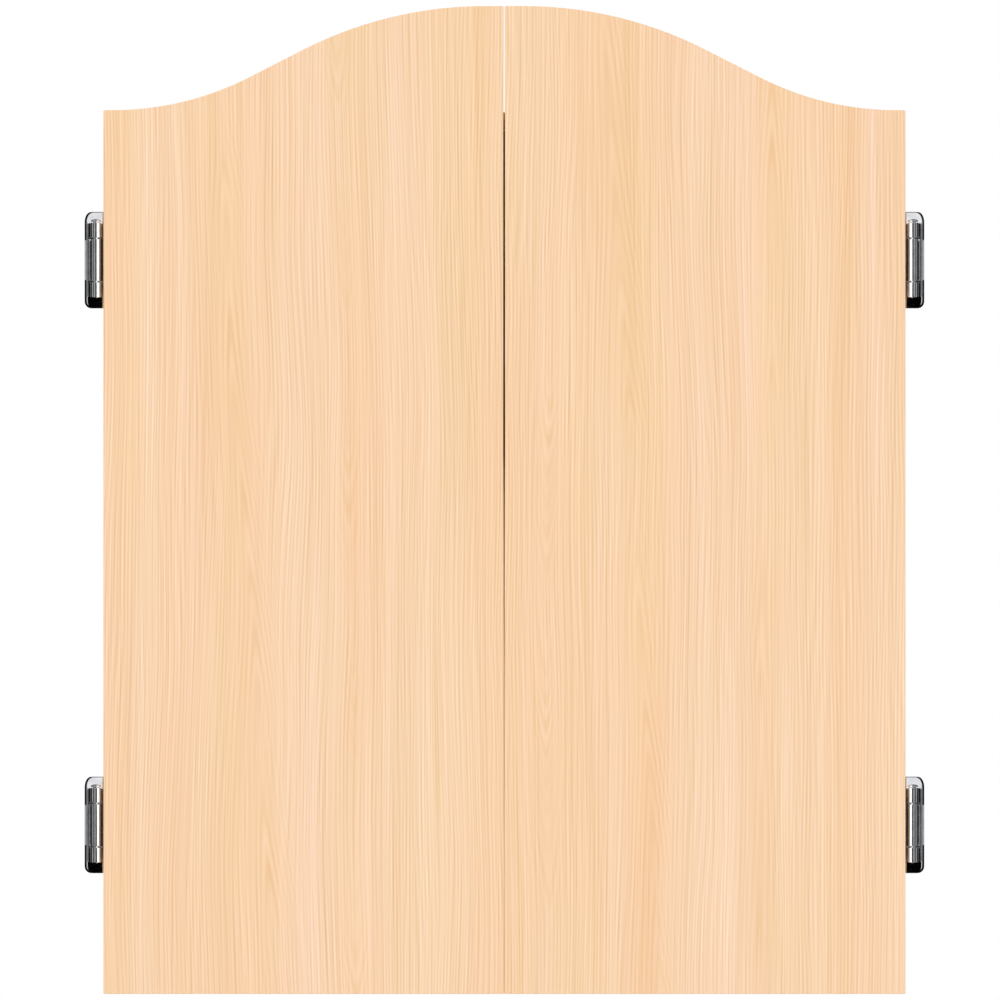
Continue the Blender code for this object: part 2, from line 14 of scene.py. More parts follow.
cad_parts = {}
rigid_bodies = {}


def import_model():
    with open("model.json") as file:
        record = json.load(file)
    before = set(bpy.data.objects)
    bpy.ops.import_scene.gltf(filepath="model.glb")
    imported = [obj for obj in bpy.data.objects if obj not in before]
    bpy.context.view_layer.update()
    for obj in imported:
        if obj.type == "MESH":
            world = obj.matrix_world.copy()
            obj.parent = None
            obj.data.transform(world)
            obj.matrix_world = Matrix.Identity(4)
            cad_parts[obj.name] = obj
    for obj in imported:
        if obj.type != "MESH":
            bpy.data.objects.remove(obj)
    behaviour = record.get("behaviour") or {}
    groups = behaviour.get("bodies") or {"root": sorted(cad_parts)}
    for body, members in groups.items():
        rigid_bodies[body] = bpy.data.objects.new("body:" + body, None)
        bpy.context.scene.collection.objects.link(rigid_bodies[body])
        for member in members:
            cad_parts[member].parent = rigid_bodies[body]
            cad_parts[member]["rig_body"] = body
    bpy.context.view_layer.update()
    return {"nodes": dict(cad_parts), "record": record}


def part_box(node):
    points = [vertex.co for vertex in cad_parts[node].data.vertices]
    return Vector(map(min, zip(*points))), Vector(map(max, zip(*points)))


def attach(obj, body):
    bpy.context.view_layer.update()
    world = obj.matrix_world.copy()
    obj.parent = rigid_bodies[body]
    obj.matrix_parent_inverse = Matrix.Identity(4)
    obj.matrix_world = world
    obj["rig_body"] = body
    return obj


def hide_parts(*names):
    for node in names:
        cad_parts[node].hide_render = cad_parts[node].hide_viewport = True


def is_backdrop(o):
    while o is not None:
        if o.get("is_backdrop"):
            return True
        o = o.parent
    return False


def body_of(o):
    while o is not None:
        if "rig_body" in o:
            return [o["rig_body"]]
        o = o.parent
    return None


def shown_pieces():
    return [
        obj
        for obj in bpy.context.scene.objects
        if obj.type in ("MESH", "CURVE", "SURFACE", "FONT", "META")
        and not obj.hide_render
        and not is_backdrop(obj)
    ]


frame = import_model()
nodes = frame["nodes"]
SIDES = {"left": -1, "right": 1}
LEVELS = ("upper", "lower")

DOOR_LOW, DOOR_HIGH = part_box("right_door")
DOOR_HEIGHT = DOOR_HIGH.z - DOOR_LOW.z

# Camera: square to the doors, far away with a long lens, so the view is nearly flat
CAMERA_DISTANCE = 12.0
SENSOR = 36.0
VIEW_WIDTH = 0.62336                  # metres across the picture at the doors' faces
AIM = Vector((-0.00278, 0.0, 0.03294))

# Meeting gap between the doors: (share of the doors' height, width)
SEAM = [(0.0, 0.00003), (0.10, 0.00003), (0.20, 0.00010), (0.30, 0.00016), (0.40, 0.00040),
        (0.48, 0.00058), (0.53, 0.00085), (0.545, 0.00102), (0.87, 0.00102), (0.93, 0.00084),
        (1.0, 0.00075)]
SEAM_SHIFT = -0.0002                  # how far right of the centre line the gap's middle lies
MEETING_EDGE = 0.0015                 # vertices this close to the centre line follow the gap

# Hinge, in its local frame
BARREL = 0.00335
MIDDLE_BARREL = 0.00310
BORE = 0.0020
WING_THICK = 0.0022
WING_SWEEP = (0.0040, 0.0062)         # swept outer top corner, outboard and up
WING_FOOT = 0.0042                    # round outer bottom corner
WING_RIM = 0.0015                     # width of the steep rim on the outer edge
RIM_DEPTH = 0.0018
RELIEF_WIDTH = 0.0011                 # stepped rim beside the middle knuckle
RELIEF_SLOPE = 0.75
POCKET_DEPTH = 0.00026                # shallow pocket beside the middle knuckle
POCKET_SLOPE = 0.0010                 # width of the pocket's sloping sides
WING_IN = -0.0045
WING_OUT = 0.0071
WING_BEND = 0.0074                    # length of each bent-back end
WING_SLOPE = 0.46                     # how steeply the ends lean back
WING_BITE = 0.0004                    # how far the flange and the shoulders reach into the wing
FLANGE_BACK = 0.0373
FLANGE_CORNER = 0.0045
FLANGE_THICK = 0.0018
LEAF_THICK = 0.0010
LEAF_CORNER = 0.0030
LEAF_GAP = 0.0012                     # from the wing's inner edge to the leaf's plate
MIDDLE_HALF = 0.01305
END_KNUCKLE = 0.0102
PLAY = 0.0003
GROOVE = 0.0006                       # extra gap that shows between knuckles

# The chrome's bright polish fades to a duller plating between the first two depths. The plating
# ends between the other two, so that screws, drawn about their own origins, stay bright.
POLISH_END = (-0.0725, -0.0695)
PLATING_END = (-0.030, -0.020)

# Studio
FLOOR_HEIGHT = -1.73
FLOOR_SIZE = 16.0

# Soft lights for the chrome: name, bearing, half spread in degrees, glow
SOFTBOX_DISTANCE = 1.2
SOFTBOX_HEIGHT = 1.4
SOFTBOXES = [("key", 58.0, 30.0, 1.35), ("strip", -20.0, 11.0, 0.42)]

# Countersunk screws
HEAD_RADIUS = 0.0027
HEAD_HEIGHT = 0.0009
SHANK_RADIUS = 0.0012
CORE_RADIUS = 0.0010
THREAD_ROOT = 0.0009
THREAD_PITCH = 0.0011
THREAD_TOP = -0.0016
HOLE_SPARE = 0.0002                   # room round a screw in its hole
RECESS_ARM = (0.0032, 0.0006, 0.0012)
STRIKE_SCREW = 0.0088

# Dart strip
DART_PITCH = 0.034
DART_HOLE = 0.0034
DART_MOUTH = 0.0050

# Rubber feet
SPACER_RECESS = 0.0052
SPACER_RECESS_DEPTH = 0.0040
SPACER_SCREW = 0.0036


# ---------------------------------------------------------------- node helpers
class Graph:
    """Adds and links shader nodes with little ceremony."""

    def __init__(self, tree):
        self.tree = tree
        self.tree.nodes.clear()

    def add(self, kind, **settings):
        node = self.tree.nodes.new(kind)
        for key, value in settings.items():
            setattr(node, key, value)
        return node

    def feed(self, socket, value):
        if isinstance(value, bpy.types.NodeSocket):
            self.tree.links.new(value, socket)
        elif value is not None:
            socket.default_value = value

    def math(self, operation, a, b=None, c=None):
        node = self.add("ShaderNodeMath", operation=operation)
        for socket, value in zip(node.inputs, (a, b, c)):
            self.feed(socket, value)
        return node.outputs[0]

    def plus(self, a, b):
        return self.math("ADD", a, b)

    def minus(self, a, b):
        return self.math("SUBTRACT", a, b)

    def times(self, a, b):
        return self.math("MULTIPLY", a, b)

    def around(self, value, spread):
        """A 0..1 pattern turned into -spread/2..spread/2."""
        return self.times(self.minus(value, 0.5), spread)

    def vector(self, x=0.0, y=0.0, z=0.0):
        node = self.add("ShaderNodeCombineXYZ")
        for socket, value in zip(node.inputs, (x, y, z)):
            self.feed(socket, value)
        return node.outputs[0]

    def split(self, vector):
        node = self.add("ShaderNodeSeparateXYZ")
        self.feed(node.inputs[0], vector)
        return node.outputs

    def object_space(self):
        return self.add("ShaderNodeTexCoord").outputs["Object"]

    def noise(self, vector, scale=1.0, detail=2.0, roughness=0.5):
        node = self.add("ShaderNodeTexNoise")
        self.feed(node.inputs["Vector"], vector)
        node.inputs["Scale"].default_value = scale
        node.inputs["Detail"].default_value = detail
        node.inputs["Roughness"].default_value = roughness
        return node.outputs["Fac"]

    def stretched(self, cross, along, crosswise, lengthwise, seed, detail=0.0, roughness=0.5):
        """Noise with its own scale across and along the grain."""
        place = self.vector(self.times(cross, crosswise), self.times(along, lengthwise), seed)
        return self.noise(place, 1.0, detail, roughness)

    def ramp(self, factor, stops, interpolation="LINEAR"):
        node = self.add("ShaderNodeValToRGB")
        node.color_ramp.interpolation = interpolation
        elements = node.color_ramp.elements
        while len(elements) < len(stops):
            elements.new(0.5)
        for element, (position, colour) in zip(elements, stops):
            element.position = position
            element.color = (*colour, 1.0) if isinstance(colour, tuple) else (colour,) * 3 + (1.0,)
        self.feed(node.inputs[0], factor)
        return node.outputs[0]

    def mix(self, factor, a, b, blend="MIX"):
        node = self.add("ShaderNodeMix", data_type="RGBA", blend_type=blend)
        for index, value in ((0, factor), (6, a), (7, b)):
            if isinstance(value, tuple) and len(value) == 3:
                value = (*value, 1.0)
            self.feed(node.inputs[index], value)
        return node.outputs[2]

    def blend(self, factor, a, b):
        """Mix of two numbers."""
        node = self.add("ShaderNodeMix", data_type="FLOAT")
        for index, value in ((0, factor), (2, a), (3, b)):
            self.feed(node.inputs[index], value)
        return node.outputs[0]

    def map_range(self, value, low, high, to_low=0.0, to_high=1.0, smooth=False):
        node = self.add("ShaderNodeMapRange")
        node.interpolation_type = "SMOOTHSTEP" if smooth else "LINEAR"
        for socket, number in zip(node.inputs, (value, low, high, to_low, to_high)):
            self.feed(socket, number)
        return node.outputs[0]

    def bell(self, distance, width):
        """1 at zero distance, falling away over the width."""
        near = self.math("DIVIDE", distance, width)
        return self.math("EXPONENT", self.times(self.times(near, near), -1.0))

    def tint(self, amount, red, green, blue):
        """A colour multiplier whose channels follow the amount by different powers."""
        node = self.add("ShaderNodeCombineColor")
        for socket, power in zip(node.inputs, (red, green, blue)):
            self.feed(socket, self.math("POWER", amount, power))
        return node.outputs[0]


def new_material(name):
    material = bpy.data.materials.new(name)
    material.use_nodes = True
    graph = Graph(material.node_tree)
    graph.shader = graph.add("ShaderNodeBsdfPrincipled")
    output = graph.add("ShaderNodeOutputMaterial")
    graph.tree.links.new(graph.shader.outputs[0], output.inputs[0])
    graph.material = material
    return graph


def set_surface(graph, colour, roughness, metallic, height, strength, distance):
    """Fill in a material's colour, roughness and metal, and a bump from a height pattern."""
    for name, value in (("Base Color", colour), ("Roughness", roughness), ("Metallic", metallic)):
        graph.feed(graph.shader.inputs[name], value)
    bump = graph.add("ShaderNodeBump")
    graph.feed(bump.inputs["Height"], height)
    bump.inputs["Strength"].default_value = strength
    bump.inputs["Distance"].default_value = distance
    graph.tree.links.new(bump.outputs[0], graph.shader.inputs["Normal"])
    return graph.material


def linear(r, g, b):
    """Linear colour from display values in 0..255."""
    def one(value):
        value /= 255.0
        return value / 12.92 if value <= 0.04045 else ((value + 0.055) / 1.055) ** 2.4
    return (one(r), one(g), one(b))


# ---------------------------------------------------------------- wood laminate
WOOD_COLOUR = linear(249, 211, 172)

# Slow colour bands across the doors: (distance right of the centre line, -1 tan to 1 pale)
BANDS = [(-0.250, -0.2), (-0.237, -0.9), (-0.222, 0.7), (-0.198, 0.1), (-0.183, -0.1),
         (-0.160, -0.4), (-0.143, -0.1), (-0.119, 0.7), (-0.104, 0.0), (-0.092, -0.5),
         (-0.074, 0.4), (-0.052, 0.6), (-0.030, -0.1), (-0.013, -0.8), (0.006, -0.5),
         (0.025, 0.3), (0.050, -0.3), (0.070, 0.2), (0.085, -0.8), (0.100, 0.0),
         (0.122, 0.8), (0.145, 0.5), (0.165, -0.1), (0.180, 0.4), (0.197, -0.2),
         (0.210, -0.9), (0.226, 0.3), (0.250, -0.1)]
BAND_REACH = 0.26                     # the bands run this far each side of the centre line

# Flame figures: centre, lean, half width, slant of the arms (down-pointing when negative), seed
FIGURES = [(-0.160, -0.065, 0.016, 0.060, 2.1), (-0.097, -0.02, 0.008, -0.14, 5.7),
           (0.027, 0.00, 0.007, -0.13, 9.3), (0.082, -0.060, 0.013, 0.070, 13.9),
           (0.163, 0.02, 0.009, 0.04, 17.2)]
FIGURE_CORE = 0.0022                  # how blunt the tip of each flame is
FLAME_PITCH = 0.0030
FLAME_STRENGTH = 0.16
FLAME_COVER = 0.85                    # how far a flame figure replaces the straight lines

BUMP_STRIPES = (0.0026, 4.9)          # pitch and seed of the embossed lines

# Fine straight lines: pitch, strength, seed
PINSTRIPES = [(0.00193, 0.17, 5.2), (0.00281, 0.11, 8.4), (0.00424, 0.09, 12.7)]

# How far each pattern lightens and darkens the wood
BAND_SPREAD = 0.14
PATCH_SPREAD = 0.23
CLOUD_SPREAD = 0.085
BLUSH_SPREAD = 0.055
STREAK_SPREAD = 0.38
FIGURE_SHADE = 0.055

# Powers of red, green and blue: tan patterns, pink to yellow patterns, and fine lines
SLOW_TINT = (0.08, 0.34, 1.0)
BLUSH_TINT = (-0.3, 1.0, 0.2)
QUICK_TINT = (0.30, 0.52, 1.0)


def grain_axes(graph, lengthwise):
    """Cross-grain and along-grain coordinates on every face of a board."""
    source = graph.add("ShaderNodeTexCoord")
    x, y, z = graph.split(source.outputs["Object"])
    nx, ny, nz = graph.split(source.outputs["Normal"])
    if lengthwise == "X":
        x, z, nx, nz = z, x, nz, nx
    facing = graph.math("GREATER_THAN", graph.math("ABSOLUTE", ny), 0.7)
    ending = graph.math("GREATER_THAN", graph.math("ABSOLUTE", nz), 0.7)
    cross = graph.blend(facing, graph.plus(y, 0.37), x)
    along = graph.blend(ending, z, x)
    return cross, along


def pinstripe(graph, cross, along, pitch, seed):
    """Evenly pitched lines, -1 to 1, that wander, fade and start again along the grain."""
    phase = graph.times(graph.stretched(cross, along, 60.0, 7.0, seed), 2.6)
    turns = graph.plus(graph.math("DIVIDE", cross, pitch), phase)
    wave = graph.math("SINE", graph.times(turns, 2 * pi))
    strength = graph.map_range(graph.stretched(cross, along, 150.0, 18.0, seed + 0.5),
                               0.32, 0.68, 0.25, 1.0)
    return graph.times(wave, strength)


def add_figure(graph, lines, cross, along, figure):
    """Cross-fade the straight grain to one column of nested flame shapes."""
    centre, lean, half_width, slant, seed = figure
    wander = graph.around(graph.stretched(0.0, along, 1.0, 5.0, seed), 0.010)
    offset = graph.minus(graph.minus(cross, graph.times(along, lean)), graph.plus(wander, centre))
    arch = graph.math("SQRT", graph.math("MULTIPLY_ADD", offset, offset, FIGURE_CORE ** 2))
    level = graph.plus(arch, graph.times(along, slant))
    flames = graph.times(pinstripe(graph, level, along, FLAME_PITCH, seed + 0.5), FLAME_STRENGTH)
    shown = graph.map_range(graph.stretched(0.0, along, 1.0, 7.0, seed + 1.5), 0.38, 0.58)
    mask = graph.times(graph.bell(offset, half_width), shown)
    return graph.blend(graph.times(mask, FLAME_COVER), lines, flames), mask


def laminate(name, lengthwise="Z"):
    """Pale beech-effect laminate: slow tone bands, straight fine lines and a few flame figures."""
    graph = new_material(name)
    cross, along = grain_axes(graph, lengthwise)
    drift = graph.around(graph.stretched(cross, along, 7.0, 2.6, 3.3), 0.018)
    waver = graph.around(graph.stretched(cross, along, 30.0, 8.0, 4.1), 0.0030)
    grain = graph.plus(cross, graph.plus(drift, waver))

    stops = [((at + BAND_REACH) / (2 * BAND_REACH), 0.5 + tone / 2) for at, tone in BANDS]
    bands = graph.ramp(graph.map_range(grain, -BAND_REACH, BAND_REACH), stops, "EASE")
    clouds = graph.stretched(grain, along, 12.0, 1.6, 6.3)
    patches = graph.stretched(grain, along, 46.0, 3.0, 7.7, 2.0, 0.6)
    blush = graph.stretched(grain, along, 34.0, 3.5, 11.6)
    streaks = graph.stretched(grain, along, 120.0, 3.0, 1.9, 1.0, 0.6)
    lines = 0.0
    for pitch, strength, seed in PINSTRIPES:
        wave = pinstripe(graph, grain, along, pitch, seed)
        lines = graph.plus(lines, graph.times(wave, strength))
    mask = 0.0
    for figure in FIGURES:
        lines, shown = add_figure(graph, lines, cross, along, figure)
        mask = graph.plus(mask, shown)

    slow = graph.plus(graph.around(bands, BAND_SPREAD), graph.around(patches, PATCH_SPREAD))
    slow = graph.plus(slow, graph.around(clouds, CLOUD_SPREAD))
    slow = graph.minus(slow, graph.times(mask, FIGURE_SHADE))
    blushing = graph.around(blush, BLUSH_SPREAD)
    quick = graph.plus(graph.around(streaks, STREAK_SPREAD), lines)
    colour = WOOD_COLOUR
    for amount, powers in ((slow, SLOW_TINT), (blushing, BLUSH_TINT), (quick, QUICK_TINT)):
        tint = graph.tint(graph.plus(amount, 1.0), *powers)
        colour = graph.mix(1.0, colour, tint, "MULTIPLY")
    graph.shader.inputs["Specular IOR Level"].default_value = 0.35
    return set_surface(graph, colour, graph.map_range(lines, -0.2, 0.2, 0.58, 0.50), 0.0,
                       pinstripe(graph, cross, along, *BUMP_STRIPES), 0.10, 0.00003)


# ---------------------------------------------------------------- other materials
def chrome(name):
    """Plated steel, polished in front; behind the door's face the plating is left duller."""
    graph = new_material(name)
    place = graph.object_space()
    x, y, z = graph.split(place)
    haze = graph.noise(place, 260.0, 2.0)
    marks = graph.noise(graph.vector(graph.times(x, 900.0), graph.times(y, 900.0),
                                     graph.times(z, 5000.0)), 1.0, 1.0)
    colour = graph.ramp(haze, [(0.3, (0.70, 0.71, 0.73)), (0.7, (0.86, 0.87, 0.90))])
    dull = graph.times(graph.map_range(y, *POLISH_END), graph.map_range(y, *PLATING_END, 1.0, 0.0))
    colour = graph.mix(graph.times(dull, 0.8), colour, (0.74, 0.75, 0.77))
    polish = graph.plus(graph.map_range(haze, 0.3, 0.7, 0.05, 0.11), graph.times(marks, 0.05))
    metallic = graph.minus(1.0, graph.times(dull, 0.42))
    relief = graph.times(graph.plus(marks, haze), graph.minus(1.0, graph.times(dull, 0.85)))
    return set_surface(graph, colour, graph.plus(polish, graph.times(dull, 0.16)), metallic,
                       relief, 0.04, 0.0001)


def brushed_steel(name):
    """Zinc-plated sheet: spangle and brushing along its length."""
    graph = new_material(name)
    place = graph.object_space()
    x, y, z = graph.split(place)
    spangle = graph.add("ShaderNodeTexVoronoi")
    graph.feed(spangle.inputs["Vector"], place)
    spangle.inputs["Scale"].default_value = 420.0
    brushing = graph.noise(graph.vector(graph.times(x, 300.0), graph.times(y, 6000.0),
                                        graph.times(z, 6000.0)), 1.0, 2.0)
    tone = graph.plus(graph.times(spangle.outputs["Distance"], 0.25), graph.times(brushing, 0.5))
    colour = graph.ramp(tone, [(0.15, (0.46, 0.47, 0.48)), (0.6, (0.72, 0.73, 0.75))])
    return set_surface(graph, colour, graph.map_range(tone, 0.1, 0.6, 0.46, 0.34), 0.6,
                       brushing, 0.15, 0.0001)


def blotched(name, blotches, stops, rough, grain, bump, metallic=0.0):
    """Blotches of two colours, roughness that follows them, and a fine texture.

    Blotches and grain are a noise's scale and detail, bump is strength and distance.
    """
    graph = new_material(name)
    place = graph.object_space()
    blotch = graph.noise(place, *blotches)
    return set_surface(graph, graph.ramp(blotch, stops), graph.map_range(blotch, 0.3, 0.7, *rough),
                       metallic, graph.noise(place, *grain), *bump)


def backing_board(name):
    """Fibreboard: matt black on the front and edges, bare brown fibres on the wall side."""
    graph = new_material(name)
    source = graph.add("ShaderNodeTexCoord")
    place = source.outputs["Object"]
    bare = graph.math("GREATER_THAN", graph.split(source.outputs["Normal"])[1], 0.7)
    fibres = graph.noise(place, 700.0, 4.0, 0.65)
    clouds = graph.noise(place, 22.0, 3.0)
    black = graph.ramp(clouds, [(0.3, (0.016, 0.016, 0.016)), (0.7, (0.028, 0.027, 0.026))])
    brown = graph.ramp(graph.blend(0.35, fibres, clouds),
                       [(0.36, (0.125, 0.066, 0.034)), (0.64, (0.270, 0.160, 0.088))])
    return set_surface(graph, graph.mix(bare, black, brown),
                       graph.map_range(fibres, 0.3, 0.7, 0.62, 0.80), 0.0, fibres, 0.25, 0.0003)


def score_sheet(name):
    """Black wipe-clean sheet with thin printed ruling and faint wiped chalk."""
    graph = new_material(name)
    place = graph.object_space()
    x, y, z = graph.split(place)
    low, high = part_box("right_scoreboard")
    middle = (low + high) / 2
    across = graph.math("ABSOLUTE", graph.minus(graph.math("ABSOLUTE", x), middle.x))
    up = graph.math("ABSOLUTE", z)
    inset = 0.009                     # from the sheet's edge to its outer ruling
    heading_height = 0.042
    half_line = 0.0006
    half_width = (high.x - low.x) / 2 - inset
    half_height = (high.z - low.z) / 2 - inset
    inside_x = graph.math("LESS_THAN", across, half_width + half_line)
    inside_z = graph.math("LESS_THAN", up, half_height + half_line)

    def rule(distance):
        return graph.math("LESS_THAN", graph.math("ABSOLUTE", distance), half_line)

    heading = graph.minus(z, half_height - heading_height)
    below = graph.math("LESS_THAN", heading, 0.0)
    ruled = [graph.times(rule(graph.minus(across, half_width)), inside_z),
             graph.times(rule(graph.minus(up, half_height)), inside_x),
             graph.times(rule(heading), inside_x),
             graph.times(graph.times(rule(across), below), inside_z)]
    line = ruled[0]
    for other in ruled[1:]:
        line = graph.math("MAXIMUM", line, other)
    smear = graph.noise(graph.vector(graph.times(x, 30.0), graph.times(y, 30.0),
                                     graph.times(z, 9.0)), 1.0, 5.0, 0.62)
    chalk = graph.map_range(smear, 0.50, 0.80, 0.0, 0.07)
    sheet = graph.mix(chalk, (0.011, 0.011, 0.012), (0.55, 0.55, 0.54))
    worn = graph.map_range(graph.noise(place, 160.0, 3.0), 0.25, 0.6, 0.55, 0.95)
    colour = graph.mix(graph.times(line, worn), sheet, (0.62, 0.62, 0.60))
    return set_surface(graph, colour, graph.map_range(smear, 0.3, 0.8, 0.22, 0.55), 0.0,
                       graph.noise(place, 900.0, 2.0), 0.05, 0.0002)


# ---------------------------------------------------------------- studio
def add_camera():
    data = bpy.data.cameras.new("camera")
    data.sensor_width = SENSOR
    data.lens = SENSOR * CAMERA_DISTANCE / VIEW_WIDTH
    data.clip_end = 100.0
    camera = bpy.data.objects.new("camera", data)
    bpy.context.scene.collection.objects.link(camera)
    camera.location = (AIM.x, DOOR_LOW.y - CAMERA_DISTANCE, AIM.z)
    camera.rotation_euler = (pi / 2, 0, 0)
    bpy.context.scene.camera = camera


def add_world():
    """White to the camera, soft all round for matt surfaces, dark in places for polished ones."""
    world = bpy.data.worlds.new("studio")
    bpy.context.scene.world = world
    world.use_nodes = True
    graph = Graph(world.node_tree)
    direction = graph.add("ShaderNodeTexCoord").outputs["Generated"]
    x, y, z = graph.split(direction)
    path = graph.add("ShaderNodeLightPath")
    # horizontal angle from straight in front of the doors, 0 to 1 round to the wall
    front = graph.times(y, -1.0)
    turn = graph.math("DIVIDE", graph.math("ARCTAN2", graph.math("ABSOLUTE", x), front), pi)
    around = graph.ramp(turn, [(0.0, 0.025), (0.13, 0.03), (0.20, 0.12), (0.28, 0.07),
                               (0.35, 0.25), (0.41, 0.60), (0.47, 0.35), (0.53, 0.01),
                               (0.74, 0.02), (0.80, 0.40), (1.0, 0.45)])
    height = graph.ramp(graph.map_range(z, -1.0, 1.0),
                        [(0.0, 0.02), (0.35, 0.05), (0.46, 0.70), (0.56, 1.0), (0.70, 1.0),
                         (0.78, 0.04), (1.0, 0.04)])
    walls = graph.mix(1.0, around, height, "MULTIPLY")
    ceiling = graph.times(graph.ramp(z, [(0.54, 0.0), (0.62, 0.95), (0.86, 0.95), (0.93, 0.0)]),
                          graph.map_range(turn, 0.35, 0.52, 1.0, 0.0))
    table = graph.times(graph.ramp(graph.times(z, -1.0),
                                   [(0.36, 0.0), (0.44, 0.8), (0.78, 0.8), (0.86, 0.0)]),
                        graph.ramp(turn, [(0.14, 0.0), (0.20, 1.0), (0.40, 1.0), (0.46, 0.0)]))
    fill = graph.ramp(graph.math("ABSOLUTE", z), [(0.10, 0.0), (0.22, 0.24), (0.46, 0.24),
                                                  (0.54, 0.0)])
    fill = graph.times(fill, graph.map_range(turn, 0.42, 0.50, 1.0, 0.0))
    polished = graph.mix(1.0, graph.mix(1.0, walls, ceiling, "ADD"),
                         graph.plus(table, fill), "ADD")
    matt = graph.times(graph.map_range(z, -1.0, 1.0, 0.80, 1.20),
                       graph.map_range(turn, 0.30, 0.90, 1.04, 0.74, True))
    lit = graph.mix(path.outputs["Is Glossy Ray"], matt, polished)
    seen = graph.mix(path.outputs["Is Camera Ray"], lit, (1.0, 1.0, 1.0))
    background = graph.add("ShaderNodeBackground")
    graph.feed(background.inputs["Color"], seen)
    output = graph.add("ShaderNodeOutputWorld")
    graph.tree.links.new(background.outputs[0], output.inputs[0])


def add_floor():
    bpy.ops.mesh.primitive_plane_add(size=FLOOR_SIZE, location=(0, 0, FLOOR_HEIGHT))
    floor = bpy.context.object
    floor.name = "floor"
    graph = new_material("pale_floor")
    graph.shader.inputs["Base Color"].default_value = (0.86, 0.86, 0.86, 1.0)
    graph.shader.inputs["Roughness"].default_value = 0.8
    floor.data.materials.append(graph.material)
    floor.visible_glossy = False
    floor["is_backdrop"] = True


def add_softbox(name, sign, bearing, half_spread, glow, receivers):
    """A tall soft light in front that only one side's chrome sees.

    The bearing is measured in degrees from straight ahead of the hinge towards the doors.
    """
    hinge = Vector((sign * DOOR_HIGH.x, DOOR_LOW.y, 0.0))
    data = bpy.data.lights.new(name, "AREA")
    data.shape = "RECTANGLE"
    data.size = 2 * SOFTBOX_DISTANCE * tan(radians(half_spread))
    data.size_y = SOFTBOX_HEIGHT
    data.energy = glow * pi * data.size * data.size_y
    light = bpy.data.objects.new(name, data)
    bpy.context.scene.collection.objects.link(light)
    turn = radians(bearing)
    offset = Vector((-sign * sin(turn), -cos(turn), 0.0))
    light.location = hinge + offset * SOFTBOX_DISTANCE
    light.rotation_euler = (-offset).to_track_quat("-Z", "Z").to_euler()
    light.visible_camera = False
    light.visible_diffuse = False
    light.light_linking.receiver_collection = receivers


# ---------------------------------------------------------------- mesh helpers
def add_prism(bm, outline, low, high, place):
    """Extrude a closed outline between two levels; place(a, b, level) gives each point."""
    first = [bm.verts.new(place(a, b, low)) for a, b in outline]
    last = [bm.verts.new(place(a, b, high)) for a, b in outline]
    bm.faces.new(first)
    bm.faces.new(list(reversed(last)))
    for i in range(len(outline)):
        bm.faces.new((first[i - 1], last[i - 1], last[i], first[i]))
    bmesh.ops.recalc_face_normals(bm, faces=bm.faces)


def flat(a, b, level):
    """An outline given outboard and up, thickened front to back."""
    return Vector((a, level, b))


def upright(a, b, level):
    """An outline given outboard and back, thickened upwards."""
    return Vector((a, b, level))


def sideways(a, b, level):
    """An outline given back and up, thickened outboard."""
    return Vector((level, a, b))


def round_edges(bm, width, segments, chosen=None, sharper=40.0):
    """Round the sharp edges, or those of them that a test on the edge's middle picks."""
    edges = []
    for edge in bm.edges:
        middle = (edge.verts[0].co + edge.verts[1].co) / 2
        if edge.calc_face_angle(0.0) > radians(sharper):
            if chosen is None or chosen(middle):
                edges.append(edge)
    bmesh.ops.bevel(bm, geom=edges, offset=width, segments=segments, profile=0.5,
                    affect="EDGES", offset_type="OFFSET", clamp_overlap=True)


def arc(centre, radius, start, end, steps):
    """Points on an arc, angles in degrees."""
    angles = [radians(start + (end - start) * i / steps) for i in range(steps + 1)]
    return [(centre[0] + radius * cos(a), centre[1] + radius * sin(a)) for a in angles]


def quarter(width, height, steps):
    """Points of a quarter round, from its top on the axis out to its foot."""
    angles = [pi / 2 * i / steps for i in range(steps + 1)]
    return [(width * sin(a), height * cos(a)) for a in angles]


def add_turned(bm, profile, segments=40):
    """Spin a closed or axis-to-axis (radius, height) profile about the vertical axis."""
    rings = []
    for radius, z in profile:
        if radius < 1e-7:
            rings.append([bm.verts.new((0, 0, z))])
            continue
        ring = []
        for i in range(segments):
            turn = 2 * pi * i / segments
            ring.append(bm.verts.new((radius * cos(turn), radius * sin(turn), z)))
        rings.append(ring)
    closed = len(rings[0]) > 1
    pairs = list(zip(rings, rings[1:] + rings[:1] if closed else rings[1:]))
    for one, other in pairs:
        for i in range(segments):
            j = (i + 1) % segments
            corners = [one[i % len(one)], one[j % len(one)],
                       other[j % len(other)], other[i % len(other)]]
            bm.faces.new(list(dict.fromkeys(corners)))
    bmesh.ops.recalc_face_normals(bm, faces=bm.faces)


def finished(bm, name):
    mesh = bpy.data.meshes.new(name)
    bm.to_mesh(mesh)
    bm.free()
    return mesh


def opened(mesh):
    """A bmesh of a mesh's shape."""
    bm = bmesh.new()
    bm.from_mesh(mesh)
    return bm


def clean_copy(node):
    """A node's own mesh as a bmesh, with doubled points merged and flat facets joined."""
    bm = opened(nodes[node].data)
    bmesh.ops.remove_doubles(bm, verts=bm.verts, dist=0.00001)
    bmesh.ops.dissolve_limit(bm, angle_limit=radians(0.5), verts=bm.verts, edges=bm.edges)
    return bm


def block(name, size, centre, soft):
    """A box with rounded edges."""
    bm = bmesh.new()
    bmesh.ops.create_cube(bm, size=1.0)
    bmesh.ops.scale(bm, vec=size, verts=bm.verts)
    bmesh.ops.translate(bm, vec=centre, verts=bm.verts)
    round_edges(bm, soft, 2)
    return finished(bm, name)


def merge(bm, part):
    """Pour one bmesh into another and free it."""
    mesh = finished(part, "part")
    bm.from_mesh(mesh)
    bpy.data.meshes.remove(mesh)


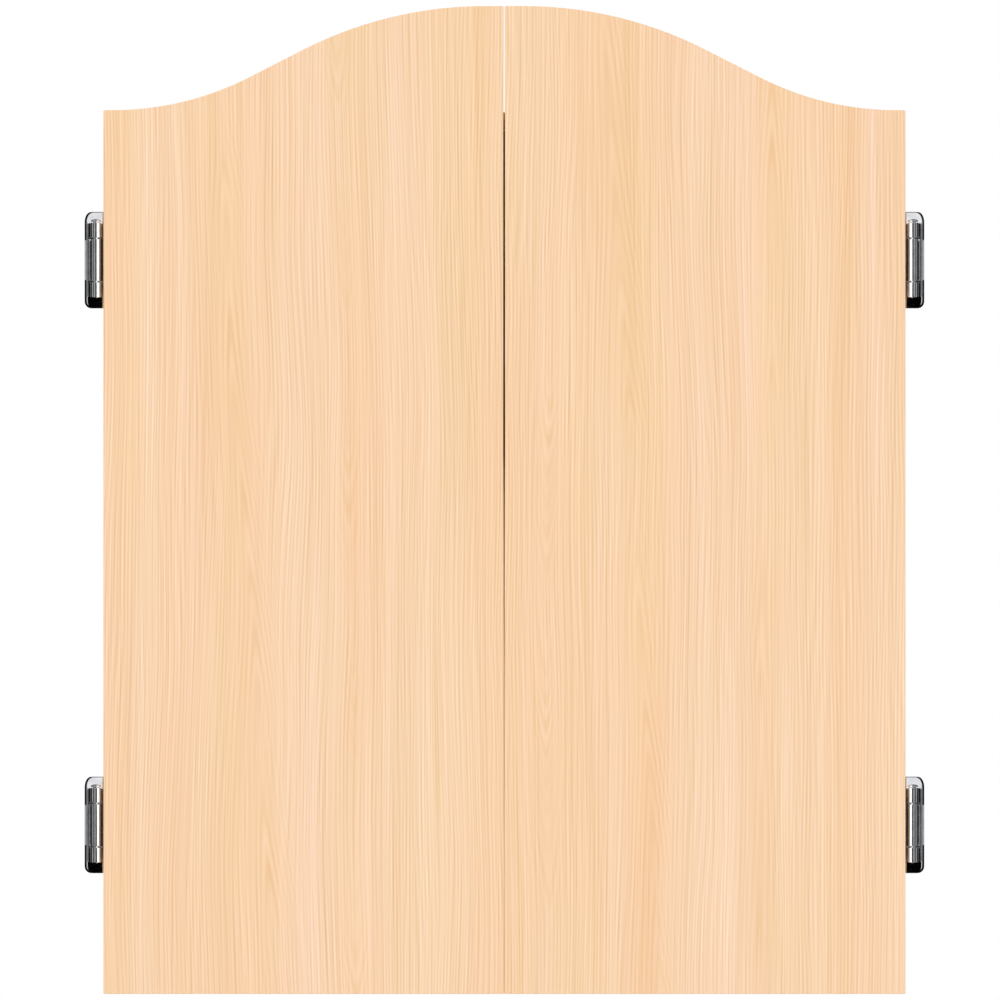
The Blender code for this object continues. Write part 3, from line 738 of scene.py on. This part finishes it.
def shade_round(mesh, angle=32.0):
    mesh.shade_smooth()
    mesh.set_sharp_from_angle(angle=radians(angle))


def carve(mesh, cutters):
    """The mesh with each cutter mesh taken out of it."""
    obj = bpy.data.objects.new("carved", mesh)
    bpy.context.scene.collection.objects.link(obj)
    tools = []
    for cutter in cutters:
        tool = bpy.data.objects.new("cutter", cutter)
        bpy.context.scene.collection.objects.link(tool)
        tools.append(tool)
        modifier = obj.modifiers.new("Cut", "BOOLEAN")
        modifier.operation = "DIFFERENCE"
        modifier.solver = "EXACT"
        modifier.object = tool
    evaluated = obj.evaluated_get(bpy.context.evaluated_depsgraph_get())
    result = bpy.data.meshes.new_from_object(evaluated)
    for thing in tools + [obj]:
        bpy.data.objects.remove(thing, do_unlink=True)
    return result


def add_piece(name, mesh, material, body, replaced=(), matrix=None, smooth=32.0,
              flats=False):
    """Put a mesh in the scene as a piece of the model; flats keeps flat faces evenly lit."""
    obj = bpy.data.objects.new(name, mesh)
    bpy.context.scene.collection.objects.link(obj)
    if matrix is not None:
        obj.matrix_world = matrix
    mesh.materials.clear()
    mesh.materials.append(material)
    if smooth:
        shade_round(mesh, smooth)
    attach(obj, body)
    if replaced:
        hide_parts(*replaced)
    if flats:
        modifier = obj.modifiers.new("Normals", "WEIGHTED_NORMAL")
        modifier.keep_sharp = True


# ---------------------------------------------------------------- doors
def seam_width(share):
    for (low, low_gap), (high, high_gap) in zip(SEAM, SEAM[1:]):
        if share <= high:
            return low_gap + (high_gap - low_gap) * (share - low) / (high - low)
    return SEAM[-1][1]


def make_door(side, sign):
    """The door with its meeting edge very slightly bowed, so the gap closes downwards."""
    bm = clean_copy(f"{side}_door")
    for share, _ in SEAM[1:-1]:
        geometry = bm.verts[:] + bm.edges[:] + bm.faces[:]
        level = (0, 0, DOOR_LOW.z + share * DOOR_HEIGHT)
        bmesh.ops.bisect_plane(bm, geom=geometry, plane_co=level, plane_no=(0, 0, 1))
    edge_low = min(abs(v.co.x) for v in bm.verts if v.co.z < DOOR_LOW.z + 0.01)
    edge_high = min(abs(v.co.x) for v in bm.verts if v.co.z > DOOR_HIGH.z - 0.01)
    for vert in bm.verts:
        if abs(vert.co.x) < MEETING_EDGE:
            share = (vert.co.z - DOOR_LOW.z) / DOOR_HEIGHT
            old = edge_low + (edge_high - edge_low) * share
            vert.co.x += sign * (seam_width(share) / 2 - old) + SEAM_SHIFT
    mesh = finished(bm, f"{side}_door_panel")
    add_piece(f"{side}_door_panel", mesh, WOOD, f"{side}_door_assembly",
              [f"{side}_door"], flats=True)


# ---------------------------------------------------------------- hinges
def wing_outline(half, window_half, rim):
    """Frame leaf's wing: swept outer top corner, round outer bottom corner, notch for the strap."""
    notch = LEAF_THICK - BARREL + PLAY
    outer = WING_OUT - rim
    sweep, rise = WING_SWEEP
    top = [(outer - sweep + sweep * cos(a), half - rise + rise * sin(a))
           for a in (radians(90.0 * i / 10) for i in range(11))]
    bottom = arc((outer - WING_FOOT, -half + WING_FOOT), WING_FOOT, -90, 0, 8)
    return [(WING_IN, -half)] + bottom + top + [(WING_IN, half), (WING_IN, window_half),
                                                (notch, window_half), (notch, -window_half),
                                                (WING_IN, -window_half)]


def wing_pocket(front):
    """Cutter for the shallow pocket beside the middle knuckle."""
    bm = bmesh.new()
    border = 0.0008                   # flat strip between the pocket and the rim
    inner = -0.0015                   # hidden behind the barrel
    outer = WING_OUT - WING_RIM - border - POCKET_SLOPE
    half = MIDDLE_HALF - POCKET_SLOPE
    proud = 0.0001
    spread = POCKET_SLOPE * proud / POCKET_DEPTH
    for level, grow in ((front - proud, POCKET_SLOPE + spread), (front + POCKET_DEPTH, 0.0)):
        for a, b in ((inner, -half - grow), (outer + grow, -half - grow),
                     (outer + grow, half + grow), (inner, half + grow)):
            bm.verts.new((a, level, b))
    bmesh.ops.convex_hull(bm, input=bm.verts)
    bmesh.ops.recalc_face_normals(bm, faces=bm.faces)
    return finished(bm, "pocket")


def rim_relief(front):
    """Cutter for the shallower, stepped rim beside the middle knuckle."""
    bm = bmesh.new()
    edge = WING_OUT - RELIEF_WIDTH
    spare = 0.0015
    low = front + RIM_DEPTH - RELIEF_WIDTH * RELIEF_SLOPE
    outline = [(edge, low), (edge - 0.0001, front - spare), (WING_OUT + spare, front - spare),
               (WING_OUT + spare, low + (RELIEF_WIDTH + spare) * RELIEF_SLOPE)]
    half = MIDDLE_HALF - 0.0006
    add_prism(bm, outline, -half, half, upright)
    return finished(bm, "relief")


def make_wing(half):
    bm = bmesh.new()
    front = BARREL + PLAY
    window_half = MIDDLE_HALF + PLAY
    easing = 0.0004                   # each bend is spread this far to both sides
    rings = []
    for level, rim in ((front, WING_RIM), (front + RIM_DEPTH, 0.0), (front + WING_THICK, 0.0)):
        outline = wing_outline(half, window_half, rim)
        rings.append([bm.verts.new((a, level, b)) for a, b in outline])
    bm.faces.new(rings[0])
    bm.faces.new(list(reversed(rings[-1])))
    for one, other in zip(rings, rings[1:]):
        for i in range(len(one)):
            bm.faces.new((one[i - 1], other[i - 1], other[i], one[i]))
    bmesh.ops.recalc_face_normals(bm, faces=bm.faces)
    for sign in (-1, 1):
        for back in (easing, -easing):
            geometry = bm.verts[:] + bm.edges[:] + bm.faces[:]
            level = (0, 0, sign * (half - WING_BEND + back))
            bmesh.ops.bisect_plane(bm, geom=geometry, plane_co=level, plane_no=(0, 0, 1))
    round_edges(bm, 0.0005, 5, lambda p: p.y < front + 0.0001)
    round_edges(bm, 0.0002, 3, lambda p: p.y > front + WING_THICK - 0.0001)
    bm = opened(carve(finished(bm, "wing"), [wing_pocket(front), rim_relief(front)]))
    for vert in bm.verts:
        past = abs(vert.co.z) - (half - WING_BEND)
        if past > -easing:
            lean = WING_SLOPE * max(past, 0.0)
            vert.co.y += lean + (0.00004 if abs(past) < 0.00045 else 0.0)
    return bm


def countersink():
    """Cutter for a screw's head and shank, head side at +Z."""
    bm = bmesh.new()
    above = 0.001
    below = -0.004
    slope = (HEAD_RADIUS - SHANK_RADIUS) / HEAD_HEIGHT
    add_turned(bm, [(0.0, above), (HEAD_RADIUS + HOLE_SPARE + above * slope, above),
                    (SHANK_RADIUS + HOLE_SPARE, -HEAD_HEIGHT), (SHANK_RADIUS + HOLE_SPARE, below),
                    (0.0, below)], 24)
    return finished(bm, "countersink")


def aimed(seat, direction):
    """Matrix that puts a shape's origin at a seat and its -Z along a direction."""
    turned = Vector(direction).to_track_quat("-Z", "Y").to_matrix().to_4x4()
    return Matrix.Translation(seat) @ turned


def screw_holes(seats, direction):
    """Cutters for the heads and shanks of screws that point along a direction."""
    holes = []
    for seat in seats:
        hole = countersink()
        hole.transform(aimed(seat, direction))
        holes.append(hole)
    return holes


def make_flange(half, screw_heights, screw_back):
    """Plate on the cabinet's side with two countersunk holes."""
    bm = bmesh.new()
    front = BARREL + PLAY + WING_BITE
    corner = FLANGE_CORNER
    end = half - PLAY
    sunk = 0.00005                    # keeps it off the plane of the wing's inner edge
    set_back = front + WING_SLOPE * WING_BEND + PLAY
    outline = (arc((FLANGE_BACK - corner, corner - end), corner, -90, 0, 6)
               + arc((FLANGE_BACK - corner, end - corner), corner, 0, 90, 6)
               + [(set_back, end), (front, half - WING_BEND),
                  (front, WING_BEND - half), (set_back, -end)])
    add_prism(bm, outline, WING_IN + sunk, WING_IN + FLANGE_THICK, sideways)
    round_edges(bm, 0.0003, 4)
    seats = [Vector((WING_IN + FLANGE_THICK, screw_back, z)) for z in screw_heights]
    return opened(carve(finished(bm, "flange"), screw_holes(seats, (-1, 0, 0))))


def knuckle(low, high, soft=0.00025):
    """One tube of the barrel with rounded ends."""
    bm = bmesh.new()
    profile = (arc((BARREL - soft, high - soft), soft, 0, 90, 8) + [(BORE, high), (BORE, low)]
               + arc((BARREL - soft, low + soft), soft, -90, 0, 8))
    add_turned(bm, profile, 48)
    return bm


def make_web(low, high):
    """Cast shoulder between an end knuckle and the wing, outboard of the barrel."""
    bm = bmesh.new()
    back = BARREL + PLAY + WING_BITE
    short = 0.0002                    # less high than the knuckle at each end
    outline = [(0.0, back), (0.0, 0.0009), (BARREL - 0.0004, 0.0009), (BARREL + 0.0002, 0.0016),
               (0.0044, 0.0028), (0.0050, back)]
    add_prism(bm, outline, low + short, high - short, upright)
    round_edges(bm, 0.0003, 5, None, 25.0)
    return bm


def rolled_leaf(half, plate_front, plate_out):
    """Door leaf's middle: sheet rolled round the pin, a strap back past the door, then a bend.

    It ends in a thin tongue inside the plate, so that no two faces lie on each other.
    """
    plate_back = plate_front + LEAF_THICK
    tongue_back = plate_back - LEAF_THICK / 4
    tongue_front = plate_front + LEAF_THICK / 4
    tip = plate_out - 0.002
    strap_out = -BARREL + LEAF_THICK
    outer_bend = 0.0016
    inner_bend = 0.0006
    slit = 488.0                      # the roll ends here, in degrees, short of a full turn
    outline = arc((0, 0), MIDDLE_BARREL, 180, slit, 44) + arc((0, 0), BORE, slit, 182, 44)
    outline += [(strap_out, 0.0012)]
    outline += arc((strap_out - outer_bend, plate_back - outer_bend), outer_bend, 0, 90, 5)
    outline += [(plate_out, plate_back), (plate_out, tongue_back), (tip, tongue_back),
                (tip, tongue_front), (plate_out, tongue_front), (plate_out, plate_front)]
    outline += arc((-BARREL - inner_bend, plate_front - inner_bend), inner_bend, 90, 0, 3)
    bm = bmesh.new()
    add_prism(bm, outline, -half, half, upright)

    def at_barrel_end(point):
        return abs(abs(point.z) - half) < 0.00005 and point.y < BARREL

    round_edges(bm, 0.0003, 2, at_barrel_end, 60.0)
    return bm


def leaf_plate(plate_front, inner, outer, half, screw_in, screw_heights):
    """Plate on the door's back with two countersunk holes."""
    bm = bmesh.new()
    corner = LEAF_CORNER
    small = 0.001
    outline = (arc((outer - small, -half + small), small, -90, 0, 3)
               + arc((outer - small, half - small), small, 0, 90, 3)
               + arc((inner + corner, half - corner), corner, 90, 180, 5)
               + arc((inner + corner, -half + corner), corner, 180, 270, 5))
    add_prism(bm, outline, plate_front, plate_front + LEAF_THICK, flat)
    round_edges(bm, 0.00025, 2, lambda p: p.y > plate_front + LEAF_THICK / 2)
    seats = [Vector((screw_in, plate_front + LEAF_THICK, z)) for z in screw_heights]
    return opened(carve(finished(bm, "plate"), screw_holes(seats, (0, -1, 0))))


def hinge_frame(side, level):
    """Pin axis, hinge middle and half height, read from the frame's own pieces."""
    pin_low, pin_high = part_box(f"{side}_{level}_hinge_pin")
    leaf_low, leaf_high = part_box(f"{side}_{level}_frame_leaf")
    axis = (pin_low + pin_high) / 2
    middle = (leaf_low.z + leaf_high.z) / 2
    return Vector((axis.x, axis.y, middle)), (leaf_high.z - leaf_low.z) / 2


def place_local(bm, sign, origin):
    """Turn a local bmesh into the world, mirrored on the left."""
    matrix = Matrix.Translation(origin) @ Matrix.Diagonal((sign, 1, 1, 1))
    bmesh.ops.transform(bm, matrix=matrix, verts=bm.verts)
    bmesh.ops.recalc_face_normals(bm, faces=bm.faces)


def local_point(point, sign, origin):
    """A world point as outboard, back and up from the pin axis."""
    return Vector((sign * (point.x - origin.x), point.y - origin.y, point.z - origin.z))


def screw_places(side, level, kind, sign, origin):
    places = []
    for letter in ("a", "b"):
        low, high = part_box(f"{side}_{level}_{kind}_screw_{letter}")
        places.append(local_point((low + high) / 2, sign, origin))
    return places


def make_hinge(side, sign, level):
    origin, half = hinge_frame(side, level)
    frame_screws = screw_places(side, level, "frame", sign, origin)
    heights = [p.z for p in frame_screws]
    leaf = make_wing(half)
    merge(leaf, make_flange(half, heights, frame_screws[0].y))
    for up in (-1, 1):
        ends = sorted((up * (MIDDLE_HALF + PLAY + GROOVE),
                       up * (MIDDLE_HALF + END_KNUCKLE)))
        merge(leaf, knuckle(*ends))
        merge(leaf, make_web(*ends))
    place_local(leaf, sign, origin)
    add_piece(f"{side}_{level}_hinge_casting", finished(leaf, "casting"), CHROME, "cabinet_box",
              [f"{side}_{level}_frame_leaf"], None, 12.0, True)

    leaf_low, leaf_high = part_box(f"{side}_{level}_door_leaf")
    plate_front = leaf_high.y - LEAF_THICK - origin.y
    inner = min(local_point(leaf_low, sign, origin).x, local_point(leaf_high, sign, origin).x)
    door_screws = screw_places(side, level, "door", sign, origin)
    plate_outer = WING_IN - LEAF_GAP
    rolled = rolled_leaf(MIDDLE_HALF, plate_front, plate_outer - 0.0001)
    heights = [p.z for p in door_screws]
    merge(rolled, leaf_plate(plate_front, inner, plate_outer, (leaf_high.z - leaf_low.z) / 2,
                             door_screws[0].x, heights))
    place_local(rolled, sign, origin)
    add_piece(f"{side}_{level}_rolled_leaf", finished(rolled, "rolled"), CHROME,
              f"{side}_door_assembly", [f"{side}_{level}_door_leaf"], flats=True)
    make_pin(side, sign, level, origin)


def make_pin(side, sign, level, origin):
    """Hinge pin: domed head on top and a chamfered lower end."""
    low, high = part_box(f"{side}_{level}_hinge_pin")
    radius = (high.x - low.x) / 2
    top = high.z - origin.z
    foot = low.z - origin.z
    head = MIDDLE_HALF + 2 * PLAY + END_KNUCKLE
    shank = BORE - PLAY
    brim = 0.0006
    arris = 0.0001
    chamfer = 0.0004
    dome = [(r, head + brim + z) for r, z in quarter(radius, top - head - brim, 9)]
    profile = dome + [(radius, head + arris), (radius - arris, head), (shank, head),
                      (shank, foot + chamfer), (shank - chamfer, foot), (0.0, foot)]
    bm = bmesh.new()
    add_turned(bm, profile, 40)
    place_local(bm, sign, origin)
    body = body_of(nodes[f"{side}_{level}_hinge_pin"])[0]
    add_piece(f"{side}_{level}_hinge_rivet", finished(bm, "pin"), CHROME, body,
              [f"{side}_{level}_hinge_pin"])


# ---------------------------------------------------------------- screws
def cross_arms(height):
    """Two crossed cutters for a screw's recess, centred at a height above the head's face."""
    arms = []
    for turned in (0, 1):
        arm = bmesh.new()
        bmesh.ops.create_cube(arm, size=1.0)
        bmesh.ops.scale(arm, vec=RECESS_ARM, verts=arm.verts)
        for vert in arm.verts:
            if vert.co.z < 0:
                vert.co.x *= 0.35
                vert.co.y *= 0.6
        spin = Matrix.Rotation(turned * pi / 2, 3, "Z")
        bmesh.ops.rotate(arm, verts=arm.verts, matrix=spin)
        bmesh.ops.translate(arm, vec=(0, 0, height), verts=arm.verts)
        arms.append(finished(arm, "arm"))
    return arms


def screw_mesh(length):
    """Countersunk cross-head screw, head face at Z = 0 and thread down -Z."""
    bm = bmesh.new()
    plain = 0.0032                    # length of the head, neck and point together
    profile = [(0.0, 0.00005), (HEAD_RADIUS * 0.7, 0.0), (HEAD_RADIUS - 0.0002, -0.00005),
               (HEAD_RADIUS, -0.00018), (CORE_RADIUS, -HEAD_HEIGHT), (CORE_RADIUS, THREAD_TOP)]
    for i in range(int((length - plain) / THREAD_PITCH)):
        z = THREAD_TOP - i * THREAD_PITCH
        profile += [(SHANK_RADIUS, z - 0.2 * THREAD_PITCH), (THREAD_ROOT, z - 0.6 * THREAD_PITCH),
                    (THREAD_ROOT, z - 0.95 * THREAD_PITCH)]
    profile += [(0.0, -length)]
    add_turned(bm, profile, 24)
    return carve(finished(bm, "screw"), cross_arms(0.0))


def make_screws():
    """Every countersunk screw of the hinges and the bracket, in its node's place."""
    shared = {}
    for node, obj in nodes.items():
        if "screw" not in node:
            continue
        low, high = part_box(node)
        middle = (low + high) / 2
        if "frame_screw" in node:
            direction = Vector((-copysign(1, middle.x), 0, 0))
        elif "door_screw" in node:
            direction = Vector((0, -1, 0))
        else:
            direction = Vector((0, 1, 0))
        length = max(high - low)
        key = round(length, 5)
        if key not in shared:
            shared[key] = screw_mesh(length)
        seat = middle - direction * length / 2
        spin = Matrix.Rotation(middle.z * 41.0, 4, "Z")     # each is left at its own angle
        add_piece(f"{node}_crosshead", shared[key], CHROME, body_of(obj)[0], [node],
                  aimed(seat, direction) @ spin)


# ---------------------------------------------------------------- inside fittings
def make_magnets():
    """Each magnet as a ferrite block between two steel pole plates."""
    plate = 0.0009                    # thickness of a pole plate
    narrow = 0.0002                   # the block stays inside the plates by this much at the ends
    shy = 0.0003                      # and by this much in front
    for side in SIDES:
        for level in LEVELS:
            node = f"{side}_{level}_catch_magnet"
            low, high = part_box(node)
            middle = (low + high) / 2
            for up, name in ((1, "upper"), (-1, "lower")):
                offset = Vector((0, 0, up * ((high.z - low.z) / 2 - plate / 2)))
                pole = block("pole", (high.x - low.x, high.y - low.y, plate), middle + offset,
                             0.0002)
                add_piece(f"{side}_{level}_{name}_pole_plate", pole, STEEL,
                          "cabinet_box")
            size = (high.x - low.x - 2 * narrow, high.y - low.y - 2 * shy,
                    high.z - low.z - 2 * plate)
            core = block("ferrite", size, middle + Vector((0, shy, 0)), 0.0003)
            add_piece(f"{side}_{level}_ferrite_block", core, FERRITE,
                      "cabinet_box", [node])


def make_dart_holder(side):
    """Dart strip with a lead-in chamfer on each hole."""
    node = f"{side}_dart_holder"
    low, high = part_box(node)
    middle = (low + high) / 2
    chamfers = []
    for i in (-1, 0, 1):
        bm = bmesh.new()
        add_turned(bm, [(0.0, 0.0002), (DART_MOUTH, 0.0002), (DART_HOLE, -0.0014),
                        (0.0, -0.0014)], 32)
        cutter = finished(bm, "lead_in")
        cutter.transform(Matrix.Translation((middle.x + i * DART_PITCH, middle.y, high.z)))
        chamfers.append(cutter)
    mesh = carve(nodes[node].data.copy(), chamfers)
    add_piece(f"{side}_dart_strip", mesh, PLASTIC, f"{side}_door_assembly",
              [node], None, 30.0)


def softened_copy(node, width, name, body, material, cutters=()):
    """A piece with a node's own shape, its edges rounded and then cut."""
    bm = clean_copy(node)
    round_edges(bm, width, 2)
    mesh = finished(bm, name)
    if cutters:
        mesh = carve(mesh, cutters)
    add_piece(name, mesh, material, body, [node], flats=True)


def make_strikes():
    """Each strike plate with a countersunk screw through its middle."""
    for side in SIDES:
        body = f"{side}_door_assembly"
        for level in LEVELS:
            node = f"{side}_{level}_strike_plate"
            low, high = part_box(node)
            middle = (low + high) / 2
            seat = Vector((middle.x, high.y, middle.z))
            softened_copy(node, 0.0002, f"{side}_{level}_strike", body, STEEL,
                          screw_holes([seat], (0, -1, 0)))
            place = aimed(seat + Vector((0, -0.0001, 0)), (0, -1, 0))
            add_piece(f"{side}_{level}_strike_screw", screw_mesh(STRIKE_SCREW), CHROME, body,
                      (), place)


def make_spacers():
    """Rubber feet: moulded edges and a recess with a pan-head screw in it."""
    for name in ("top", "left", "right"):
        node = f"board_spacer_{name}"
        low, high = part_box(node)
        front = Vector(((low.x + high.x) / 2, low.y, (low.z + high.z) / 2))
        recess = bmesh.new()
        add_turned(recess, [(0.0, 0.001), (SPACER_RECESS + 0.0004, 0.001),
                            (SPACER_RECESS, -SPACER_RECESS_DEPTH), (0.0, -SPACER_RECESS_DEPTH)], 32)
        cutter = finished(recess, "recess")
        cutter.transform(aimed(front, (0, 1, 0)))
        bm = bmesh.new()
        radius = (high.x - low.x) / 2
        depth = high.y - low.y
        face = radius * 0.85
        soft = 0.001
        shoulder = [(face - soft + r, z - soft) for r, z in quarter(soft, soft, 5)]
        add_turned(bm, [(0.0, 0.0)] + shoulder
                   + [(radius, 0.0012 - depth), (radius, -depth), (0.0, -depth)], 64)
        mesh = finished(bm, "foot")
        mesh.transform(aimed(front, (0, 1, 0)))
        mesh = carve(mesh, [cutter])
        add_piece(f"{name}_rubber_foot", mesh, RUBBER, "cabinet_box", [node])
        pan = bmesh.new()
        dome = quarter(SPACER_SCREW, 0.0011, 6)
        add_turned(pan, dome + [(SPACER_SCREW, -0.0004), (0.0, -0.0004)], 32)
        head = carve(finished(pan, "pan"), cross_arms(0.0009))
        place = front + Vector((0, SPACER_RECESS_DEPTH - 0.0006, 0))
        add_piece(f"{name}_foot_screw", head, CHROME, "cabinet_box", (),
                  aimed(place, (0, 1, 0)))


def dress(node, material):
    data = nodes[node].data
    data.materials.clear()
    data.materials.append(material)


# ---------------------------------------------------------------- making
bpy.context.scene.view_settings.view_transform = "Standard"
add_camera()
add_world()
add_floor()

WOOD = laminate("laminate_upright")
WOOD_ACROSS = laminate("laminate_across", "X")
CHROME = chrome("chrome_plate")
STEEL = brushed_steel("zinc_plate")
# black plastic with scuffed high spots, sintered magnet, rubber with dust in its pores
PLASTIC = blotched("moulded_plastic", (140.0, 3.0),
                   [(0.35, (0.014, 0.014, 0.015)), (0.72, (0.032, 0.032, 0.034))],
                   (0.42, 0.56), (2600.0, 2.0), (0.30, 0.0002))
FERRITE = blotched("ferrite", (1500.0, 3.0),
                   [(0.3, (0.05, 0.05, 0.055)), (0.7, (0.13, 0.13, 0.14))],
                   (0.38, 0.60), (1500.0, 3.0), (0.2, 0.0001), 0.6)
RUBBER = blotched("rubber_foot", (90.0, 3.0),
                  [(0.4, (0.012, 0.012, 0.012)), (0.8, (0.034, 0.033, 0.031))],
                  (0.78, 0.92), (1800.0, 2.0), (0.35, 0.0003))
SLOT_MATERIALS = {"laminate": WOOD, "chrome": CHROME, "zinc_steel": STEEL,
                  "black_plastic": PLASTIC, "magnet": FERRITE, "rubber": RUBBER,
                  "black_board": backing_board("backing_board"),
                  "score_surface": score_sheet("score_sheet")}
for subpart in frame["record"]["subparts"]:
    dress(subpart["node"], SLOT_MATERIALS[subpart["material_slot"]])
for shelf in ("top_panel", "bottom_panel"):
    dress(shelf, WOOD_ACROSS)

for side, sign in SIDES.items():
    make_door(side, sign)
    make_dart_holder(side)
    for level in LEVELS:
        make_hinge(side, sign, level)
make_magnets()
make_screws()
make_strikes()
make_spacers()
softened_copy("board_bracket", 0.0003, "bracket", "cabinet_box", STEEL)
for level in LEVELS:
    softened_copy(f"{level}_catch_housing", 0.0004, f"{level}_catch_body", "cabinet_box",
                  PLASTIC)
for side in SIDES:
    softened_copy(f"{side}_scoreboard", 0.0004, f"{side}_score_panel",
                  f"{side}_door_assembly", SLOT_MATERIALS["score_surface"])

for side, sign in SIDES.items():
    receivers = bpy.data.collections.new(f"{side}_polished")
    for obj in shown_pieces():
        if obj.data.materials and obj.data.materials[0] is CHROME:
            if obj.name.startswith(side):
                receivers.objects.link(obj)
    for name, bearing, half_spread, glow in SOFTBOXES:
        add_softbox(f"{side}_{name}", sign, bearing, half_spread, glow, receivers)
